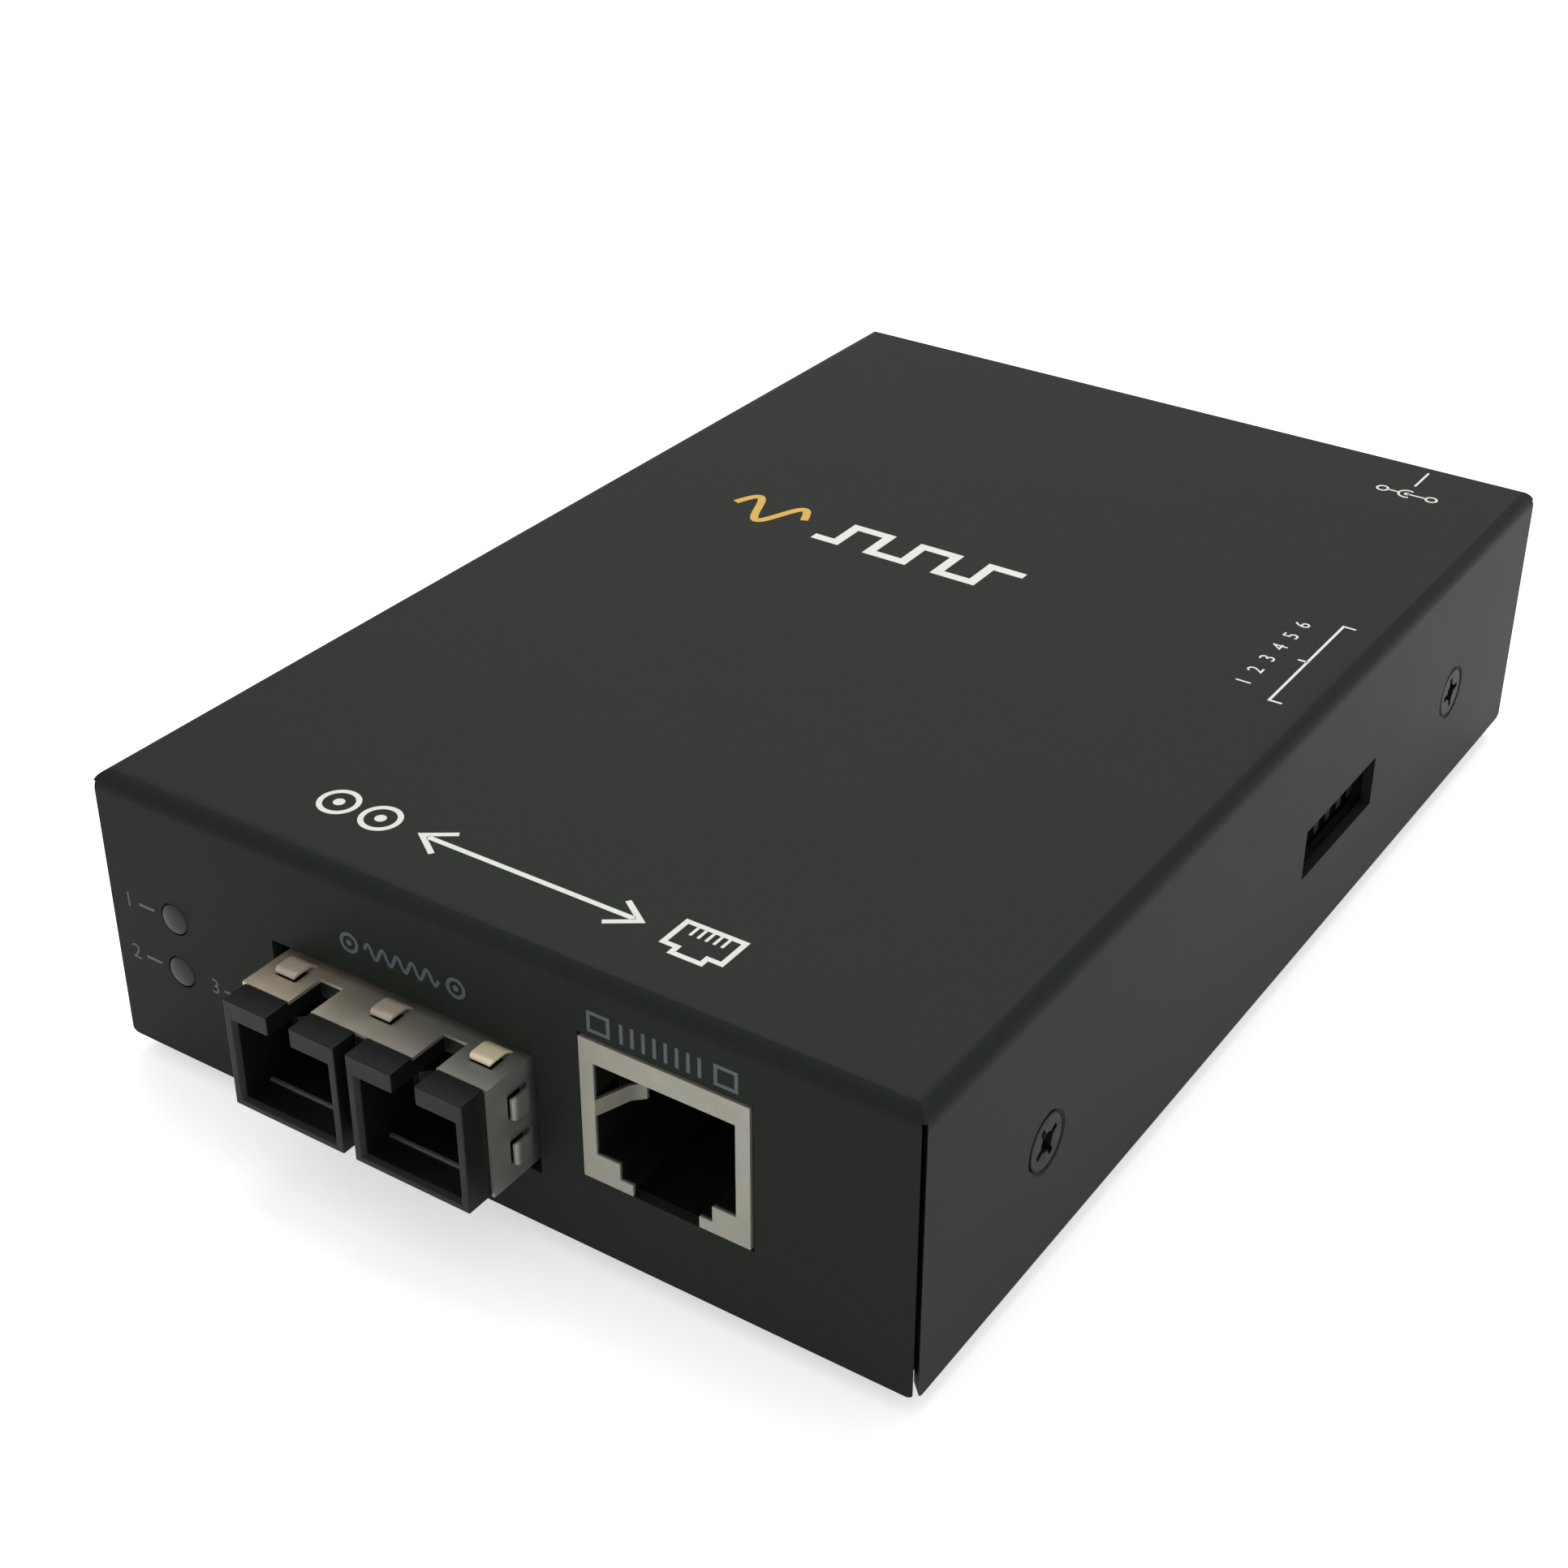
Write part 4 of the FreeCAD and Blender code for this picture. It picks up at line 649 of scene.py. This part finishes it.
def arc(centre, radius, start, end, steps=16):
    return [(centre[0] + radius * math.cos(math.radians(start + (end - start) * i / steps)),
             centre[1] + radius * math.sin(math.radians(start + (end - start) * i / steps)))
            for i in range(steps + 1)]


def ring(centre, radius, width):
    return (arc(centre, radius, 0, 360, ringSteps)[:-1], width, True)


def sineLine(start, step, count, swing, period):
    return [(start[0] + step * i, start[1] + swing * math.sin(2 * math.pi * i * step / period))
            for i in range(count)]


def addStroke(work, points, width, closed):
    flat = [Vector(point) for point in points]
    count = len(flat)
    edges = []
    for i in range(count):
        before = flat[i - 1] if closed or i else flat[i]
        after = flat[(i + 1) % count] if closed or i < count - 1 else flat[i]
        arriving, leaving = flat[i] - before, after - flat[i]
        one = (arriving if arriving.length else leaving).normalized()
        two = leaving.normalized() if leaving.length else one
        mitre = Vector((-(one.y + two.y), one.x + two.x)).normalized()
        reach = width / 2 / max(leastMitre, mitre.dot(Vector((-two.y, two.x))))
        edges.append((flat[i] + mitre * reach, flat[i] - mitre * reach))
    rows = [[work.verts.new((p.x, p.y, z)) for p, z in ((left, inkRise), (right, inkRise),
                                                       (right, -inkRise), (left, -inkRise))]
            for left, right in edges]
    joinRows(work, list(zip(rows, rows[1:])) + ([(rows[-1], rows[0])] if closed else []))
    if not closed:
        capRows(work, rows)


def addNumber(work, text, centre, height):
    letters = bpy.data.curves.new("number", "FONT")
    letters.body = text
    letters.align_x = "CENTER"
    letters.align_y = "CENTER"
    letters.size = height * letterScale
    letters.extrude = inkRise
    letters.resolution_u = letterSteps
    mesh = plainMesh(addHolder(letters))
    mesh.transform(Matrix.Translation((centre[0], centre[1], 0)))
    work.from_mesh(mesh)


def addPrint(name, ink, origin, reading, tops, strokes=(), discs=(), numbers=()):
    work = bmesh.new()
    for points, width, closed in strokes:
        addStroke(work, points, width, closed)
    for centre, radius in discs:
        made = bmesh.ops.create_cone(work, cap_ends=True, segments=discSteps, radius1=radius,
                                     radius2=radius, depth=2 * inkRise)
        bmesh.ops.translate(work, verts=made["verts"], vec=(centre[0], centre[1], 0))
    for text, centre, height in numbers:
        addNumber(work, text, centre, height)
    bmesh.ops.recalc_face_normals(work, faces=work.faces)
    along, up = Vector(reading), Vector(tops)
    turn = Matrix((along, up, along.cross(up))).transposed().to_4x4()
    work.transform(Matrix.Translation(Vector(origin) * mm) @ turn @ Matrix.Scale(mm, 4))
    return addPiece(name, newMesh(work, name), ink, "case_paint", mainBody)


caseSizes = {"left": -40.0, "front": -56.5, "roof": 28.5, "floor": 2.0}
left, front, roof = caseSizes["left"], caseSizes["front"], caseSizes["roof"]
across, rearward, leftward, upward = (1, 0, 0), (0, 1, 0), (-1, 0, 0), (0, 0, 1)
roofCorner = (left, front, roof)
frontCorner = (left, front, caseSizes["floor"])

# Port sign: two fibre ends, a two-way arrow and a socket with its pins
portSizes = {"x": 18.5, "y": 5.5, "row": 2.05, "ends": (1.9, 6.3), "radius": 1.6, "dot": 0.5,
             "line": 0.48, "shaft": (11.2, 31.4), "tips": ((10.6, 1), (32.0, -1)), "barbLong": 2.4,
             "barbRise": 1.65, "arrowLine": 0.5, "pins": 5, "pinX": 36.1, "pinPitch": 0.72,
             "pinLow": 2.6, "pinHigh": 3.75, "pinLine": 0.26}
socketOutline = [(34.9, 0.9), (36.2, 0.9), (36.2, 0.1), (38.9, 0.1), (38.9, 0.9), (40.2, 0.9),
                 (40.2, 4.0), (34.9, 4.0)]
s = portSizes
row = s["row"]
portSign = [ring((x, row), s["radius"], s["line"]) for x in s["ends"]]
portSign.append(([(x, row) for x in s["shaft"]], s["arrowLine"], False))
for tip, way in s["tips"]:
    barb = tip + way * s["barbLong"]
    portSign.append(([(barb, row + s["barbRise"]), (tip, row), (barb, row - s["barbRise"])],
                     s["arrowLine"], False))
portSign.append((socketOutline, s["line"], True))
for i in range(s["pins"]):
    x = s["pinX"] + s["pinPitch"] * i
    portSign.append(([(x, s["pinHigh"]), (x, s["pinLow"])], s["pinLine"], False))
addPrint("portSignPrint", "whiteInk", (left + s["x"], front + s["y"], roof), across, rearward,
         portSign, discs=[((x, row), s["dot"]) for x in s["ends"]])

# Signal sign: an amber wave of light turns into a white square wave
lightWave = {"start": (14.4, 71.6), "step": 0.2, "count": 41, "swing": 2.3, "period": 5.4}
lightLine = 0.8
addPrint("lightWavePrint", "amberInk", roofCorner, across, rearward,
         [(sineLine(**lightWave), lightLine, False)])
squareWave = {"from": 25.0, "to": 46.4, "firstStep": 27.6, "pitch": 3.8, "steps": 5,
              "levels": (69.6, 73.4), "line": 1.0}
s = squareWave
square = [(s["from"], s["levels"][0])]
for i in range(s["steps"]):
    x = s["firstStep"] + s["pitch"] * i
    square += [(x, s["levels"][i % 2]), (x, s["levels"][(i + 1) % 2])]
square.append((s["to"], s["levels"][s["steps"] % 2]))
addPrint("squareWavePrint", "whiteInk", roofCorner, across, rearward, [(square, s["line"], False)])

# Bracket over the switches, with their numbers
switchSign = {"spineX": 75.5, "low": 64.7, "high": 81.0, "tick": 1.2, "middleTick": 0.9,
              "line": 0.26, "numberX": 72.3, "pitch": 2.54, "figure": 1.5}
s = switchSign
centre = (s["low"] + s["high"]) / 2
spine, end = s["spineX"], s["spineX"] + s["tick"]
bracket = [([(end, s["low"]), (spine, s["low"]), (spine, s["high"]), (end, s["high"])],
            s["line"], False),
           ([(spine, centre), (spine - s["middleTick"], centre)], s["line"], False)]
addPrint("switchBracketPrint", "whiteInk", roofCorner, across, rearward, bracket)
firstNumber = -s["pitch"] * (sliderCount - 1) / 2
switchNumbers = [(str(i + 1), (firstNumber + s["pitch"] * i, 0), s["figure"])
                 for i in range(sliderCount)]
addPrint("switchNumbersPrint", "whiteInk", (left + s["numberX"], front + centre, roof), rearward,
         leftward, numbers=switchNumbers)

# Power sign at the rear: centre pole, sleeve and a leader to the inlet
powerSizes = {"row": 111.4, "ends": (66.8, 72.0), "radius": 0.55,
              "wires": ((67.4, 68.4), (69.4, 71.4)), "poleX": 69.4, "dot": 0.3, "sleeve": 0.85,
              "sleeveArc": (60, 300), "leader": (113.6, 117.4), "line": 0.24}
s = powerSizes
row, pole = s["row"], (s["poleX"], s["row"])
powerSign = [ring((x, row), s["radius"], s["line"]) for x in s["ends"]]
powerSign += [([(x, row) for x in wire], s["line"], False) for wire in s["wires"]]
powerSign += [(arc(pole, s["sleeve"], *s["sleeveArc"]), s["line"], False),
              ([(s["poleX"], y) for y in s["leader"]], s["line"], False)]
addPrint("powerSignPrint", "whiteInk", roofCorner, across, rearward, powerSign,
         discs=[(pole, s["dot"])])

# Front face: a number and a line at each lamp. A mark is its number, the number's middle, the two
# ends of its line and its height.
lampMarks = {"marks": (("1", 2.4, (3.6, 5.4), 14.5), ("2", 2.4, (3.6, 5.4), 9.2),
                       ("3", 11.6, (12.6, 14.2), 9.2)), "line": 0.28, "figure": 1.5}
s = lampMarks
addPrint("lampNumbersPrint", "greyInk", frontCorner, across, upward,
         [([(x, z) for x in ends], s["line"], False) for _, _, ends, z in s["marks"]],
         numbers=[(text, (x, z), s["figure"]) for text, x, _, z in s["marks"]])

# Over the ports: light between two fibre ends, and a row of wires between two sockets
fibreSizes = {"row": 20.0, "ends": (27.6, 38.4), "radius": 0.8, "dot": 0.28}
fibreWave = {"start": (29.2, 20.0), "step": 0.15, "count": 51, "swing": 0.6, "period": 1.5}
copperSizes = {"sockets": (51.2, 62.6), "wide": 1.8, "low": 21.5, "high": 23.1, "wires": 8,
               "wireX": 54.2, "wirePitch": 1.0, "wireLow": 21.4, "wireHigh": 23.2}
nameLine = 0.32
s = fibreSizes
fibreEnds = [(x, s["row"]) for x in s["ends"]]
portNames = [ring(end, s["radius"], nameLine) for end in fibreEnds]
portNames.append((sineLine(**fibreWave), nameLine, False))
s = copperSizes
for x in s["sockets"]:
    end = x + s["wide"]
    portNames.append(([(x, s["high"]), (x, s["low"]), (end, s["low"]), (end, s["high"])],
                      nameLine, True))
for i in range(s["wires"]):
    x = s["wireX"] + s["wirePitch"] * i
    portNames.append(([(x, s["wireHigh"]), (x, s["wireLow"])], nameLine, False))
addPrint("portNamesPrint", "greyInk", frontCorner, across, upward, portNames,
         discs=[(end, fibreSizes["dot"]) for end in fibreEnds])
print("prints laid")

# Camera
cameraSizes = {"place": (105.805, -171.291, 135.723), "right": (0.84114, 0.54065, 0.01318),
               "down": (0.28504, -0.42248, -0.86039), "lensMm": 57.66, "sensorMm": 36.0,
               "shift": (-0.0406, -0.0269), "clipStart": 0.01}
cameraData = bpy.data.cameras.new("camera")
cameraData.lens = cameraSizes["lensMm"]
cameraData.sensor_width = cameraSizes["sensorMm"]
cameraData.shift_x, cameraData.shift_y = cameraSizes["shift"]
cameraData.clip_start = cameraSizes["clipStart"]
camera = bpy.data.objects.new("camera", cameraData)
scene.collection.objects.link(camera)
right = Vector(cameraSizes["right"]).normalized()
up = -Vector(cameraSizes["down"]).normalized()
camera.matrix_world = Matrix.Translation(Vector(cameraSizes["place"]) * mm) @ Matrix(
    (right, up, right.cross(up))).transposed().to_4x4()
scene.camera = camera

# Floor: a matt pale sheet that keeps the shadow and shows white to the camera and in reflections
stageSizes = {"floorSide": 6.0, "floorColour": "f4f4f4", "glowColour": "ffffff", "glowLevel": 0.55,
              "worldColour": "ffffff", "worldLevel": 0.69}
floorMesh = bpy.data.meshes.new("floor")
half = stageSizes["floorSide"] / 2
floorMesh.from_pydata([(-half, -half, 0), (half, -half, 0), (half, half, 0), (-half, half, 0)], [],
                      [(0, 1, 2, 3)])
floor = bpy.data.objects.new("floor", floorMesh)
scene.collection.objects.link(floor)
floorMaterial = bpy.data.materials.new("paleFloor")
floorMaterial.use_nodes = True
tree = floorMaterial.node_tree
tree.nodes.clear()
matt = addNode(tree, "ShaderNodeBsdfDiffuse", {},
               {"Color": linearColour(stageSizes["floorColour"])})
path = addNode(tree, "ShaderNodeLightPath")
glossy = addNode(tree, "ShaderNodeMath", {"operation": "MAXIMUM"},
                 {0: path.outputs["Is Camera Ray"], 1: path.outputs["Is Glossy Ray"]})
seen = addNode(tree, "ShaderNodeMath", {"operation": "MAXIMUM"},
               {0: glossy.outputs[0], 1: path.outputs["Is Transmission Ray"]})
dim = addNode(tree, "ShaderNodeMath", {"operation": "MULTIPLY"},
              {0: seen.outputs[0], 1: stageSizes["glowLevel"]})
glow = addNode(tree, "ShaderNodeEmission", {},
               {"Color": linearColour(stageSizes["glowColour"]), "Strength": dim.outputs[0]})
total = addNode(tree, "ShaderNodeAddShader", {}, {0: matt.outputs[0], 1: glow.outputs[0]})
addNode(tree, "ShaderNodeOutputMaterial", {}, {"Surface": total.outputs[0]})
floorMesh.materials.append(floorMaterial)

# World: an even light that the camera sees as white
world = bpy.data.worlds.new("studio")
scene.world = world
world.use_nodes = True
tree = world.node_tree
tree.nodes.clear()
path = addNode(tree, "ShaderNodeLightPath")
level = addNode(tree, "ShaderNodeMix", {"data_type": "FLOAT"},
                {"Factor": path.outputs["Is Camera Ray"], "A": stageSizes["worldLevel"], "B": 1.0})
sky = addNode(tree, "ShaderNodeBackground", {},
              {"Color": linearColour(stageSizes["worldColour"]), "Strength": level.outputs[0]})
addNode(tree, "ShaderNodeOutputWorld", {}, {"Surface": sky.outputs[0]})

# Lamp: one soft panel above the rear left corner, in metres and watts
keyLamp = {"place": (-0.15, 0.35, 0.7), "side": 0.6, "watts": 4.6}
lampData = bpy.data.lights.new("keyLamp", "AREA")
lampData.size = keyLamp["side"]
lampData.energy = keyLamp["watts"]
lamp = bpy.data.objects.new("keyLamp", lampData)
scene.collection.objects.link(lamp)
lamp.location = keyLamp["place"]
lamp.rotation_euler = (-Vector(keyLamp["place"])).to_track_quat("-Z", "Y").to_euler()
print("camera, floor and lamp in place")
